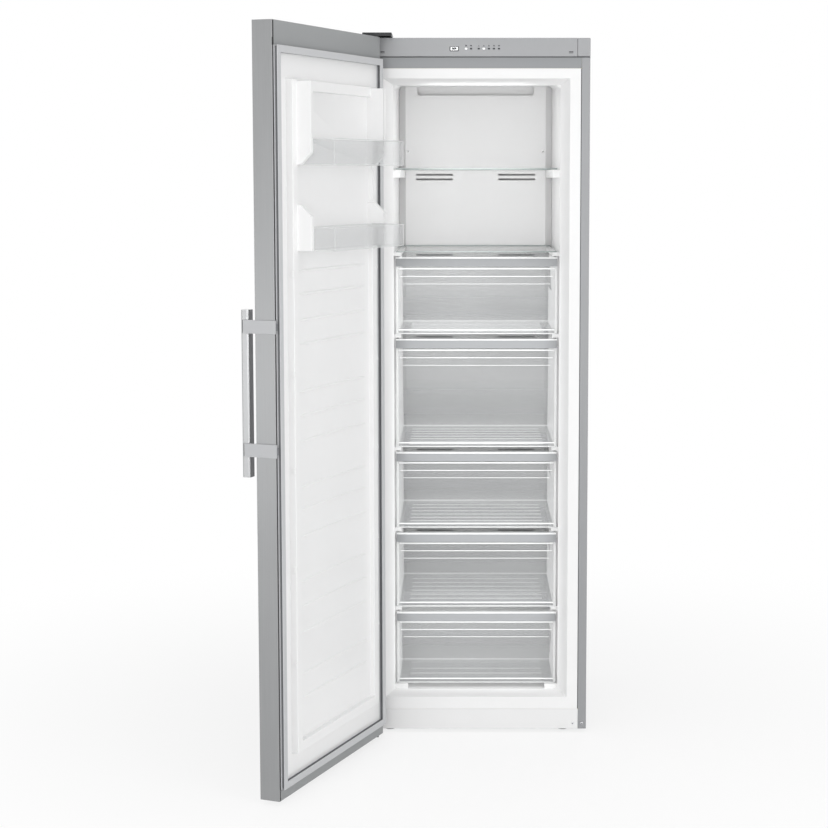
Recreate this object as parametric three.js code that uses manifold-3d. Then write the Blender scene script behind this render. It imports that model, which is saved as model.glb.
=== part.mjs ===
// Upright frost-free freezer with its door standing open, in millimetres, +Z up.
// X runs to the right and Y to the rear as seen by someone facing the open freezer.
// The origin is on the floor, under the middle of the cabinet's footprint.
import * as THREE from 'three';
import { mergeVertices } from 'three/addons/utils/BufferGeometryUtils.js';
import Module from 'manifold-3d';

const wasm = await Module();
wasm.setup();

// ---------------------------------------------------------------- driving dimensions
// cabinet
const cabinetWidth = 595;
const cabinetHeight = 1860;
const cabinetDepth = 586;
const caseBottom = 8; // lower edge of the case above the floor
const sheet = 1; // painted steel of the case and the door
const frameSheet = 1.2; // steel of the rails, the underbody pan and the lower panel
const sideReturn = 22.3; // front fold of a case side, which the gasket closes on
const rearReturn = 16; // rear fold of a case side
const seat = 0.3; // gap between pieces that touch
const flangeSeam = 2; // dark seam between the liner's flange and a case side

// front face, from the top down
const fasciaHeight = 48;
const fasciaDepth = 66;
const fasciaProud = 6; // the fascia stands this far in front of the case
const fasciaWall = 2.5;
const capWidth = 34; // corner cap at each end of the fascia
const railHeight = 30;
const railFlange = 40;
const lowerPanelHeight = 55;

// inner liner
const linerWall = 2.5;
const sideInsulation = 76.5; // from the case's outer side to the inner wall
const linerCorner = 12;
const floorLevel = 110; // inner floor above the room's floor
const ceilingDrop = 122; // front of the inner ceiling below the cabinet's top
const ceilingRise = 22; // the inner ceiling climbs by this much towards the rear
const rearInsulation = 54; // from the liner's rear wall to the back of the cabinet
const flareDepth = 30;
const flareSide = 25;
const flareTop = 18;
const flareBottom = 14;
const stepInsulation = 45; // between the inner step and the compressor bay
const stepRise = 60; // top of the inner step above the bay's roof
const ledgeReach = 18; // how far a shelf or drawer ledge stands out of the wall
const ledgeHeight = 10;
const shelfLedgeHeight = 21;
const ledgeStart = 56;
const ledgeRearGap = 10; // from a ledge's rear end to the air panel
const bulgeReach = 3; // shallow swelling of the wall under each drawer ledge
const bulgeHeight = 24;
const runnerWidth = 35; // floor runners under the lowest drawer
const runnerHeight = 11.7;

// drawers, from the bottom up
const drawerHeights = [199, 205, 208, 293, 206];
const drawerSpacing = 13; // clear height between one drawer and the next
const drawerSideGap = 5;
const drawerFront = 35; // front face behind the case's front plane
const drawerRearGap = 18; // from the drawers to the air panel
const lowestDrawerRearGap = 8; // from the lowest drawer to the inner step
const drawerWall = 2.5;
const drawerTaper = 3; // each side leans in by this much at the bottom
const drawerRearTaper = 6;
const basketInset = 1; // basket's side from the side of the drawer's front
const gripDrop = 24; // height of the hanging grip lip
const gripDepth = 20; // from the grip lip's face to the back of the front plate
const gripWall = 3;
const frontRibDrop = 52; // stiffening rib below the drawer's top edge
const frontRib = 2;
const bottomRim = 13;
const rimReach = 4;
const sideRib = 6.5;
const sideRibReach = 7;
const basketRim = 7;

// glass shelves
const glass = 4;
const shelfSideGap = 6;
const shelfFront = 50;
const shelfRearGap = 6;

// air panel, evaporator and fan
const airChamber = 52; // from the air panel's face to the liner's rear wall
const bevelReach = 19; // bevel along each side of the air panel
const bevelDepth = 18;
const airPanelWall = 3;
const bevelWall = 4.2; // wall of the bevel, measured across the freezer
const slotLength = 106;
const slotHeight = 5.5;
const slotInner = 66; // from the middle of the freezer to the inner end of a slot
const slotPitch = 13.3; // between the two rows under the upper shelf
const slotDrops = [90.5, 71, 44.5, 25.2]; // the other rows, below the floor of the drawer above
const scoopHalf = 168;
const scoopHeight = 26;
const scoopCorner = 7;
const evaporatorRise = 105; // above the inner step
const evaporatorHeight = 380;
const evaporatorWidth = 360;
const finCount = 12;
const fin = 1.5;
const coilRows = 4;
const coilTube = 8;
const heaterRadius = 4;
const fanLevel = 1180;
const fanRadius = 50;
const fanBlades = 5;
const bladeThickness = 1.6;
const bladeChord = 18;
const bladePitch = 32; // degrees
const bladeRoot = 2; // how far a blade runs into the hub
const hubRadius = 14;
const hubLength = 18;
const shaftRadius = 2.5;
const motorRadius = 25;
const motorLength = 12;
const shroudHalf = 72;
const shroudWall = 3;
const runningGap = 0.1; // around pins, axles and stems that turn
const fanClearance = 4;

// base, compressor bay and feet
const traySheet = 1.5;
const trayFlange = 39;
const trayPress = 2; // a panel in the tray's middle is pressed down by this much
const pressHalf = 200;
const pressStart = 80;
const pressLength = 300;
const bayDepth = 241; // from the bay's front wall to the back of the cabinet
const bayTop = 255;
const panLevel = 50;
const footRadius = 18;
const footPad = 6;
const footStem = 5;
const footStemTop = 36;
const stemGap = 0.5; // around a foot's stem in its boss
const footInset = 62.5; // foot centre from the cabinet's side
const footSetback = 38;
const bossRadius = 10;
const bossHeight = 9;
const rollerRadius = 18;
const rollerWidth = 16;
const rollerInset = 47.5;
const rollerSetback = 46; // roller centre from the rear of the case
const earWall = 2;
const axleRadius = 3;
const earHeight = 27;
const rollerPlay = 2; // between a roller and the ends of its slot
const rollerSideGap = 1;
const compressorRadius = 72;
const compressorHeight = 160;
const shellBend = 25;
const shellShoulder = 40;
const compressorX = -40;
const compressorSetback = 122;
const mountHeight = 16;
const mountRadius = 10;
const mountSpanX = 170;
const mountSpanY = 110;
const mountPlate = 3;
const dripTrayX = 210;
const dripTrayY = 150;
const dripTrayHeight = 38;
const plasticWall = 2;
const pipeRadius = 3.5;
const pipeReach = 52; // from the compressor's shell out to the first bend
const pipeStepX = 28;
const pipeStepY = 21;
const pipeStepZ = 14;
const pipeTail = 40; // straight run up to the bay's roof

// door, described as it stands when closed
const doorThickness = 52;
const gasketHeight = 11.4;
const doorGap = 12; // from the case's front plane to the door's rigid inner face
const doorBottom = 12;
const doorTopGap = 1.5;
const doorOpenAngle = 112; // degrees, as the freezer stands
const hingeInset = 9.5; // hinge axis from the door's side
const hingeSetback = 48; // hinge axis in front of the case's front plane
const capTopHeight = 57;
const capBottomHeight = 28;
const capWall = 2.5;
const skinReturn = 3;
const linerSheet = 2;
const gasketInset = 5.5;
const gasketWidth = 17;
const reliefInset = 63; // raised panel of the door liner from the door's side
const reliefHeight = 18;
const reliefTopGap = 10; // between the relief's top and the inner ceiling
const reliefBottomGap = 2;
const dikeWidth = 27;
const panelHeight = 6; // the liner panel inside the dikes stands this high
const wingHeight = 55;
const wingWidth = 14;
const wingInset = 84;
const wingSlope = 28; // the wings slope back at the ends that face each other
const upperWingDrop = 6; // below the relief's top
const lowerWingHeight = 109;

// door bins
const binReach = 109; // outer face of a bin from the door's inner face
const binBack = 20;
const binWall = 2.5;
const binEnd = 5;
const binGap = 1;
const upperBinHeight = 62;
const lowerBinHeight = 55;
const upperBinLift = 5; // bin floor above the glass shelf beside it
const lowerBinLift = 23;
const lugReach = 3;
const lugWidth = 16;
const lugHeight = 12;
const lugDrop = 14; // lug top below the bin's rim

// handle
const barLength = 397;
const barWidth = 26;
const barThickness = 20.7;
const barCorner = 5;
const barStandoff = 17.8;
const barTop = 1189;
const bracketHeight = 32;
const bracketThickness = 3.2;
const bracketWrap = 4.5;
const bracketLap = 13.5; // how far the bracket laps onto the bar
const upperBracketDrop = 23; // from the bar's top end to the upper bracket
const lowerBracketRise = 50; // from the bar's bottom end to the lower bracket

// hinges
const pinRadius = 4;
const pinEndGap = 1; // the pin ends this far short of its bush's inner end
const bushRadius = 8;
const bushLength = 18;
const hingePlate = 3.7;
const hingePlateWidth = 34;
const hingeNose = 18; // plate in front of the hinge axis
const lowerPlateLap = 110; // how far the lower plate runs under the cabinet
const upperPlateLap = 24;
const hingeCoverWidth = 76;
const hingeCoverHeight = 9;
const hingeCoverWall = 2;

// controls
const buttonX = -59;
const buttonWidth = 20;
const buttonHeight = 9;
const buttonProud = 0.6;
const buttonFlange = 2;
const buttonDrop = 28; // middle of the button below the fascia's top edge
const lensWidth = 4;
const lensHeight = 3;
const lensPitch = 13.2;
const firstLensX = -28.3;
const firstLensCount = 2;
const secondLensX = 5;
const secondLensCount = 5;
const guideHeight = 8;
const guideDepth = 5;
const boardHalf = 85;
const boardHeight = 32;
const boardThickness = 1.6;
const boardSetback = 10;
const boardFootDepth = 5;

// rear
const inletRadius = 12;
const inletBore = 4;
const inletLength = 14;
const grilleSlots = 6;
const grilleSlotHeight = 8;
const grillePitch = 26;
const grilleStart = 39; // lowest slot above the cover's lower edge
const grilleHalf = 74; // half the length of a slot

// construction
const cut = 1; // how far a cutting block runs past the face it opens
const lap = 1; // how far the blocks of one piece run into each other
const weld = 1e-4; // corners closer than this are one
const roundSides = 24;
const smallSides = 16;
const wideSides = 32;
const arcSegments = 6;

// ---------------------------------------------------------------- derived places
const halfWidth = cabinetWidth / 2;
const innerHalf = halfWidth - sheet - seat; // inside of the case sides
const fasciaBottom = cabinetHeight - fasciaHeight;
const linerFlangeHalf = halfWidth - sideReturn - flangeSeam;
const linerHalf = halfWidth - sideInsulation; // half the width between the inner walls
const linerDepth = cabinetDepth - rearInsulation; // from the case's front to the rear wall
const ceilingLevel = cabinetHeight - ceilingDrop;
const ceilingSlope = ceilingRise / linerDepth;
const bayFront = cabinetDepth - bayDepth;
const stepDepth = bayFront - stepInsulation; // where the step over the compressor begins
const stepLevel = bayTop + stepRise;
const airPanelFront = linerDepth - airChamber;
const airPanelHalf = linerHalf - bevelReach;
const ledgeEnd = airPanelFront - ledgeRearGap;
const railBottom = fasciaBottom - railHeight - seat;
const linerFlangeTop = railBottom - seat;
const linerFlangeBottom = caseBottom + lowerPanelHeight + seat;
const rearFace = cabinetDepth - sheet - seat; // outer face of the rear panel
const foamTop = fasciaBottom - seat - frameSheet - seat;
const trayTop = caseBottom + traySheet;

const shelfHalf = linerHalf - shelfSideGap;
const shelfRear = airPanelFront - shelfRearGap;
const drawerHalf = linerHalf - drawerSideGap;
const drawerRear = airPanelFront - drawerRearGap;
const lowestDrawerRear = stepDepth - lowestDrawerRearGap;
const drawerBottoms = [];
let stackLevel = floorLevel + runnerHeight + seat;
for (const height of drawerHeights) {
  drawerBottoms.push(stackLevel);
  stackLevel += height + drawerSpacing;
}
const lowerShelfBottom = stackLevel;
const upperShelfBottom = (lowerShelfBottom + ceilingLevel) / 2; // halfway up the open part
const upperShelfTop = upperShelfBottom + glass;
const lowerShelfTop = lowerShelfBottom + glass;

const doorInner = -doorGap;
const doorOuter = doorInner - doorThickness;
const doorTop = cabinetHeight - doorTopGap;
const gasketTop = doorTop - capTopHeight;
const gasketBottom = doorBottom + capBottomHeight;
const hingeX = -halfWidth + hingeInset;
const hingeY = -hingeSetback;
const reliefHalf = halfWidth - reliefInset;
const reliefTop = ceilingLevel - reliefTopGap;
const reliefBottom = floorLevel + reliefBottomGap;
const wingHalf = halfWidth - wingInset;
const binHalf = wingHalf - wingWidth - binGap;
const upperBinBottom = upperShelfTop + upperBinLift;
const lowerBinBottom = lowerShelfTop + lowerBinLift;
const upperWingTop = reliefTop - upperWingDrop;
const lowerWingTop = lowerBinBottom + lowerWingHeight;
const evaporatorBottom = stepLevel + evaporatorRise;
const evaporatorHalf = evaporatorWidth / 2;
const controlLevel = cabinetHeight - buttonDrop;

// ---------------------------------------------------------------- solids
const finish = {
  steelGrey: { color: 0xb4b5b7, roughness: 0.45, metalness: 0.6 },
  paintGrey: { color: 0xacadaf, roughness: 0.5, metalness: 0.1 },
  white: { color: 0xeeefef, roughness: 0.4, metalness: 0 },
  capGrey: { color: 0x8f9092, roughness: 0.5, metalness: 0 },
  gasketGrey: { color: 0xc2c3c6, roughness: 0.7, metalness: 0 },
  clear: { color: 0xdde2e4, roughness: 0.1, metalness: 0 },
  glass: { color: 0xd5e2df, roughness: 0.05, metalness: 0 },
  black: { color: 0x202124, roughness: 0.5, metalness: 0 },
  zinc: { color: 0x9a9c9e, roughness: 0.4, metalness: 0.9 },
  aluminium: { color: 0xbfc1c3, roughness: 0.35, metalness: 0.9 },
  foam: { color: 0xe6d9a8, roughness: 0.9, metalness: 0 },
  board: { color: 0x2e6b3a, roughness: 0.6, metalness: 0 },
};

function solidOf(geometry) {
  const bare = geometry.clone();
  bare.deleteAttribute('normal');
  bare.deleteAttribute('uv');
  const merged = mergeVertices(bare, weld);
  return new wasm.Manifold(new wasm.Mesh({
    numProp: 3,
    vertProperties: new Float32Array(merged.attributes.position.array),
    triVerts: new Uint32Array(merged.index.array),
  }));
}

function geometryOf(solid) {
  const mesh = solid.getMesh();
  const geometry = new THREE.BufferGeometry();
  geometry.setAttribute('position', new THREE.BufferAttribute(mesh.vertProperties, 3));
  geometry.setIndex(new THREE.BufferAttribute(mesh.triVerts, 1));
  geometry.computeVertexNormals();
  return geometry;
}

function piece(group, name, look, solid) {
  const mesh = new THREE.Mesh(geometryOf(solid), new THREE.MeshStandardMaterial(look));
  mesh.name = name;
  group.add(mesh);
  return mesh;
}

function union(...solids) {
  return solids.flat().reduce((whole, next) => whole.add(next));
}

function box(x0, x1, y0, y1, z0, z1) {
  const geometry = new THREE.BoxGeometry(x1 - x0, y1 - y0, z1 - z0);
  geometry.translate((x0 + x1) / 2, (y0 + y1) / 2, (z0 + z1) / 2);
  return solidOf(geometry);
}

function shapeOf(points) {
  return new THREE.Shape(points.map(([a, b]) => new THREE.Vector2(a, b)));
}

function extruded(shape, length, curveSegments = arcSegments) {
  return new THREE.ExtrudeGeometry(shape, { depth: length, bevelEnabled: false, curveSegments });
}

// outline in Y and Z, drawn out along X
function prismX(points, x0, x1) {
  const geometry = extruded(shapeOf(points), x1 - x0);
  const basis = new THREE.Matrix4().makeBasis(
    new THREE.Vector3(0, 1, 0), new THREE.Vector3(0, 0, 1), new THREE.Vector3(1, 0, 0));
  geometry.applyMatrix4(basis);
  geometry.translate(x0, 0, 0);
  return solidOf(geometry);
}

// outline in X and Z, drawn out along Y
function prismY(shape, y0, y1) {
  const geometry = extruded(shape, y1 - y0);
  geometry.rotateX(Math.PI / 2);
  geometry.translate(0, y1, 0);
  return solidOf(geometry);
}

// outline in X and Y, drawn out along Z
function prismZ(shape, z0, z1) {
  const geometry = extruded(shape, z1 - z0);
  geometry.translate(0, 0, z0);
  return solidOf(geometry);
}

function roundedRectangle(a0, a1, b0, b1, radius) {
  const shape = new THREE.Shape();
  shape.moveTo(a0 + radius, b0);
  shape.lineTo(a1 - radius, b0);
  shape.absarc(a1 - radius, b0 + radius, radius, -Math.PI / 2, 0);
  shape.lineTo(a1, b1 - radius);
  shape.absarc(a1 - radius, b1 - radius, radius, 0, Math.PI / 2);
  shape.lineTo(a0 + radius, b1);
  shape.absarc(a0 + radius, b1 - radius, radius, Math.PI / 2, Math.PI);
  shape.lineTo(a0, b0 + radius);
  shape.absarc(a0 + radius, b0 + radius, radius, Math.PI, Math.PI * 1.5);
  return shape;
}

// block whose section changes from one rectangle to another along Y
function taperY(near, nearY, far, farY) {
  const geometry = new THREE.BoxGeometry(2, 2, 2);
  const place = geometry.attributes.position;
  for (let i = 0; i < place.count; i += 1) {
    const end = place.getY(i) < 0 ? near : far;
    const x = place.getX(i) < 0 ? end.x0 : end.x1;
    const z = place.getZ(i) < 0 ? end.z0 : end.z1;
    place.setXYZ(i, x, place.getY(i) < 0 ? nearY : farY, z);
  }
  return solidOf(geometry);
}

// block whose section changes from one rectangle to another along Z
function taperZ(low, lowZ, high, highZ) {
  const geometry = new THREE.BoxGeometry(2, 2, 2);
  const place = geometry.attributes.position;
  for (let i = 0; i < place.count; i += 1) {
    const end = place.getZ(i) < 0 ? low : high;
    const x = place.getX(i) < 0 ? end.x0 : end.x1;
    const y = place.getY(i) < 0 ? end.y0 : end.y1;
    place.setXYZ(i, x, y, place.getZ(i) < 0 ? lowZ : highZ);
  }
  return solidOf(geometry);
}

function cylinderZ(x, y, z0, z1, radius, sides = roundSides) {
  const geometry = new THREE.CylinderGeometry(radius, radius, z1 - z0, sides);
  geometry.rotateX(Math.PI / 2);
  geometry.translate(x, y, (z0 + z1) / 2);
  return solidOf(geometry);
}

function cylinderY(x, z, y0, y1, radius, sides = roundSides) {
  const geometry = new THREE.CylinderGeometry(radius, radius, y1 - y0, sides);
  geometry.translate(x, (y0 + y1) / 2, z);
  return solidOf(geometry);
}

function cylinderX(y, z, x0, x1, radius, sides = roundSides) {
  const geometry = new THREE.CylinderGeometry(radius, radius, x1 - x0, sides);
  geometry.rotateZ(Math.PI / 2);
  geometry.translate((x0 + x1) / 2, y, z);
  return solidOf(geometry);
}

// ---------------------------------------------------------------- groups
// inside the cabinet group Y = 0 is the case's front plane and Y grows to the rear
const freezer = new THREE.Group();
const cabinet = new THREE.Group();
cabinet.position.y = -cabinetDepth / 2;
freezer.add(cabinet);

const doorPivot = new THREE.Group();
doorPivot.position.set(hingeX, hingeY, 0);
doorPivot.rotation.z = -THREE.MathUtils.degToRad(doorOpenAngle);
cabinet.add(doorPivot);
const door = new THREE.Group();
door.position.set(-hingeX, -hingeY, 0);
doorPivot.add(door);

// ---------------------------------------------------------------- outer case
function caseSide(side) {
  const outer = side * halfWidth;
  const inner = side * (halfWidth - sheet);
  const front = side * (halfWidth - sideReturn);
  const rear = side * (halfWidth - rearReturn);
  return prismZ(shapeOf([
    [outer, 0], [outer, cabinetDepth], [rear, cabinetDepth], [rear, cabinetDepth - sheet],
    [inner, cabinetDepth - sheet], [inner, sheet], [front, sheet], [front, 0],
  ]), caseBottom, fasciaBottom - seat);
}
piece(cabinet, 'case_side_left', finish.steelGrey, caseSide(-1));
piece(cabinet, 'case_side_right', finish.steelGrey, caseSide(1));

const topStart = fasciaDepth - fasciaProud + seat;
piece(cabinet, 'top_cover', finish.paintGrey,
  box(-halfWidth, halfWidth, topStart, cabinetDepth, fasciaBottom, cabinetHeight).subtract(
    box(-halfWidth + fasciaWall, halfWidth - fasciaWall, topStart + fasciaWall,
      cabinetDepth - fasciaWall, fasciaBottom - cut, cabinetHeight - fasciaWall)));

piece(cabinet, 'rear_panel', finish.zinc,
  box(-innerHalf, innerHalf, rearFace - sheet, rearFace, bayTop, fasciaBottom - seat));

piece(cabinet, 'top_rail', finish.paintGrey, prismX([
  [0, railBottom], [frameSheet, railBottom], [frameSheet, fasciaBottom - seat - frameSheet],
  [railFlange, fasciaBottom - seat - frameSheet], [railFlange, fasciaBottom - seat],
  [0, fasciaBottom - seat],
], -(halfWidth - sideReturn - seat), halfWidth - sideReturn - seat));

piece(cabinet, 'lower_front_panel', finish.white,
  box(-(halfWidth - sideReturn - seat), halfWidth - sideReturn - seat, 0, frameSheet,
    caseBottom, caseBottom + lowerPanelHeight));

// ---------------------------------------------------------------- inner liner and foam
// the filled outline of the cavity, grown outwards by a wall
function cavity(grow) {
  const geometry = extruded(
    roundedRectangle(-linerHalf - grow, linerHalf + grow, floorLevel - grow, ceilingLevel + grow,
      linerCorner + grow), linerDepth + grow);
  geometry.rotateX(Math.PI / 2);
  geometry.translate(0, linerDepth + grow, 0);
  const place = geometry.attributes.position;
  for (let i = 0; i < place.count; i += 1) {
    const rise = place.getZ(i) > stepLevel ? place.getY(i) * ceilingSlope : 0;
    place.setZ(i, place.getZ(i) + rise);
  }
  const step = box(-linerHalf * 2, linerHalf * 2, stepDepth + grow, linerDepth * 2,
    floorLevel - linerHalf, stepLevel - grow);
  const flare = taperY(
    {
      x0: -linerHalf - flareSide - grow,
      x1: linerHalf + flareSide + grow,
      z0: floorLevel - flareBottom - grow,
      z1: ceilingLevel + flareTop + grow,
    },
    grow ? 0 : -cut,
    {
      x0: -linerHalf - grow,
      x1: linerHalf + grow,
      z0: floorLevel - grow,
      z1: ceilingLevel + flareDepth * ceilingSlope + grow,
    },
    flareDepth + grow,
  );
  return solidOf(geometry).subtract(step).add(flare);
}

function ledge(side, top, height) {
  const wall = side * (linerHalf + linerWall / 2);
  const edge = side * (linerHalf - ledgeReach);
  return box(Math.min(wall, edge), Math.max(wall, edge), ledgeStart, ledgeEnd, top - height, top);
}

function bulge(side, top) {
  const wall = side * (linerHalf + linerWall / 2);
  const edge = side * (linerHalf - bulgeReach);
  return box(Math.min(wall, edge), Math.max(wall, edge), ledgeStart, ledgeEnd,
    top - bulgeHeight, top);
}

function innerLiner() {
  const flange = box(-linerFlangeHalf, linerFlangeHalf, 0, linerWall,
    linerFlangeBottom, linerFlangeTop);
  const ledges = [-1, 1].flatMap((side) => [
    ledge(side, upperShelfBottom - seat, shelfLedgeHeight),
    ledge(side, lowerShelfBottom - seat, ledgeHeight),
    ...drawerBottoms.slice(1).flatMap((bottom) => [
      ledge(side, bottom - seat, ledgeHeight),
      bulge(side, bottom - seat - ledgeHeight + lap),
    ]),
    box(side < 0 ? -linerHalf - lap : linerHalf - runnerWidth,
      side < 0 ? -linerHalf + runnerWidth : linerHalf + lap,
      drawerFront, stepDepth - seat, floorLevel - lap, floorLevel + runnerHeight),
  ]);
  return cavity(linerWall).add(flange).subtract(cavity(0))
    .add(union(ledges).intersect(cavity(linerWall / 2)));
}
piece(cabinet, 'inner_liner', finish.white, innerLiner());

const foamOutline = prismX([
  [linerWall + seat, panLevel + seat], [bayFront - seat, panLevel + seat],
  [bayFront - seat, bayTop + seat], [rearFace - sheet - seat, bayTop + seat],
  [rearFace - sheet - seat, foamTop], [linerWall + seat, foamTop],
], -innerHalf, innerHalf);
piece(cabinet, 'foam_insulation', finish.foam,
  foamOutline.subtract(cavity(linerWall + seat)));

// ---------------------------------------------------------------- base and compressor bay
piece(cabinet, 'underbody_pan', finish.zinc, prismX([
  [frameSheet + traySheet + seat * 2, panLevel - frameSheet],
  [bayFront + frameSheet, panLevel - frameSheet],
  [bayFront + frameSheet, bayTop - frameSheet], [rearFace - sheet - seat, bayTop - frameSheet],
  [rearFace - sheet - seat, bayTop], [bayFront, bayTop], [bayFront, panLevel],
  [frameSheet + traySheet + seat * 2, panLevel],
], -innerHalf, innerHalf));

const footX = halfWidth - footInset;
const rollerX = halfWidth - rollerInset;
const rollerY = cabinetDepth - rollerSetback;
function baseTray() {
  const trayFront = frameSheet + seat;
  const trayRear = rearFace - sheet - seat;
  const flangeTop = caseBottom + trayFlange;
  const floor = box(-innerHalf, innerHalf, trayFront, trayRear, caseBottom, trayTop);
  const rims = [
    box(-innerHalf, innerHalf, trayFront, trayFront + traySheet, caseBottom, flangeTop),
    box(-innerHalf, -innerHalf + traySheet, trayFront, trayRear, caseBottom, flangeTop),
    box(innerHalf - traySheet, innerHalf, trayFront, trayRear, caseBottom, flangeTop),
  ];
  const pressed = (inset, low, high) => box(-pressHalf + inset, pressHalf - inset,
    pressStart + inset, pressStart + pressLength - inset, low, high);
  const fittings = [pressed(0, caseBottom - trayPress, trayTop)];
  const holes = [pressed(traySheet, trayTop - trayPress, trayTop + cut)];
  for (const side of [-1, 1]) {
    fittings.push(cylinderZ(side * footX, footSetback, caseBottom, trayTop + bossHeight,
      bossRadius));
    holes.push(cylinderZ(side * footX, footSetback, caseBottom - cut, trayTop + bossHeight + cut,
      footStem + stemGap));
    const slotHalf = rollerWidth / 2 + rollerSideGap;
    holes.push(box(side * rollerX - slotHalf, side * rollerX + slotHalf,
      rollerY - rollerRadius - rollerPlay, rollerY + rollerRadius + rollerPlay,
      caseBottom - cut, trayTop + cut));
    for (const ear of [-1, 1]) {
      const middle = side * rollerX + ear * (slotHalf + earWall / 2);
      fittings.push(box(middle - earWall / 2, middle + earWall / 2, rollerY - rollerRadius / 2,
        rollerY + rollerRadius / 2, caseBottom, earHeight));
    }
  }
  const axles = [-1, 1].map((side) => cylinderX(rollerY, rollerRadius,
    side * rollerX - rollerWidth / 2 - earWall, side * rollerX + rollerWidth / 2 + earWall,
    axleRadius));
  return floor.add(union(rims, fittings)).subtract(union(holes)).add(union(axles));
}
piece(cabinet, 'base_tray', finish.zinc, baseTray());

for (const [side, word] of [[-1, 'left'], [1, 'right']]) {
  piece(cabinet, `levelling_foot_${word}`, finish.black,
    cylinderZ(side * footX, footSetback, 0, footPad, footRadius)
      .add(cylinderZ(side * footX, footSetback, footPad - lap, footStemTop, footStem)));
  piece(cabinet, `roller_${word}`, finish.black,
    cylinderX(rollerY, rollerRadius, side * rollerX - rollerWidth / 2,
      side * rollerX + rollerWidth / 2, rollerRadius)
      .subtract(cylinderX(rollerY, rollerRadius, side * rollerX - rollerWidth,
        side * rollerX + rollerWidth, axleRadius + runningGap)));
}

const compressorY = cabinetDepth - compressorSetback;
const shellBottom = trayTop + seat + mountHeight;
const shellTop = shellBottom + compressorHeight;
function compressor() {
  const profile = [
    [0, shellBottom], [compressorRadius - shellBend, shellBottom],
    [compressorRadius, shellBottom + shellBend], [compressorRadius, shellTop - shellShoulder],
    [compressorRadius - shellBend / 2, shellTop - shellBend / 2],
    [compressorRadius / 2, shellTop], [0, shellTop],
  ].map(([radius, height]) => new THREE.Vector2(radius, height));
  const shell = new THREE.LatheGeometry(profile, roundSides);
  shell.rotateX(Math.PI / 2);
  shell.translate(compressorX, compressorY, 0);
  const plate = box(compressorX - mountSpanX / 2 - mountRadius,
    compressorX + mountSpanX / 2 + mountRadius, compressorY - mountSpanY / 2 - mountRadius,
    compressorY + mountSpanY / 2 + mountRadius, shellBottom - lap, shellBottom - lap + mountPlate);
  const mounts = [-1, 1].flatMap((a) => [-1, 1].map((b) => cylinderZ(
    compressorX + (a * mountSpanX) / 2, compressorY + (b * mountSpanY) / 2,
    trayTop + seat, shellBottom, mountRadius, smallSides)));
  return union(solidOf(shell), plate, mounts);
}
piece(cabinet, 'compressor', finish.black, compressor());

function openTray(x, y, width, depth, bottom, top, wall) {
  return box(x - width / 2, x + width / 2, y - depth / 2, y + depth / 2, bottom, top).subtract(
    box(x - width / 2 + wall, x + width / 2 - wall, y - depth / 2 + wall, y + depth / 2 - wall,
      bottom + wall, top + cut));
}
piece(cabinet, 'drip_tray', finish.black, openTray(compressorX, compressorY, dripTrayX, dripTrayY,
  shellTop + seat, shellTop + seat + dripTrayHeight, plasticWall));

// suction pipe from the compressor's side up to the roof of its bay
function suctionPipe() {
  const start = compressorX + compressorRadius + seat;
  const level = shellBottom + compressorHeight / 2;
  const out = start + pipeReach;
  const upX = out + pipeStepX;
  const upY = compressorY - pipeStepY;
  const path = new THREE.CatmullRomCurve3([
    new THREE.Vector3(start, compressorY, level),
    new THREE.Vector3((start + out) / 2, compressorY, level),
    new THREE.Vector3(out, compressorY - pipeStepZ, level + pipeStepZ),
    new THREE.Vector3(upX, upY, bayTop - pipeTail),
    new THREE.Vector3(upX, upY, bayTop - frameSheet - seat),
  ]);
  const section = new THREE.Shape();
  section.absarc(0, 0, pipeRadius, 0, Math.PI * 2);
  const geometry = new THREE.ExtrudeGeometry(section, {
    steps: roundSides, bevelEnabled: false, extrudePath: path, curveSegments: arcSegments,
  });
  return solidOf(geometry);
}
piece(cabinet, 'suction_pipe', finish.zinc, suctionPipe());

const coverBottom = trayTop + seat;
function bayCover() {
  const cover = box(-innerHalf + traySheet + seat, innerHalf - traySheet - seat,
    rearFace - sheet, rearFace, coverBottom, bayTop - frameSheet - seat);
  const slots = [];
  for (let i = 0; i < grilleSlots; i += 1) {
    const level = coverBottom + grilleStart + grillePitch * i;
    for (const side of [-1, 1]) {
      const middle = side * innerHalf / 2;
      slots.push(box(middle - grilleHalf, middle + grilleHalf, rearFace - sheet - cut,
        rearFace + cut, level, level + grilleSlotHeight));
    }
  }
  return cover.subtract(union(slots));
}
piece(cabinet, 'bay_cover', finish.zinc, bayCover());

const inletLevel = coverBottom + inletRadius + grillePitch / 4;
piece(cabinet, 'mains_inlet', finish.black,
  cylinderY(0, inletLevel, rearFace + seat, rearFace + seat + inletLength, inletRadius)
    .subtract(cylinderY(0, inletLevel, rearFace + seat + lap, rearFace + inletLength + cut,
      inletBore, smallSides)));

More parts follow.
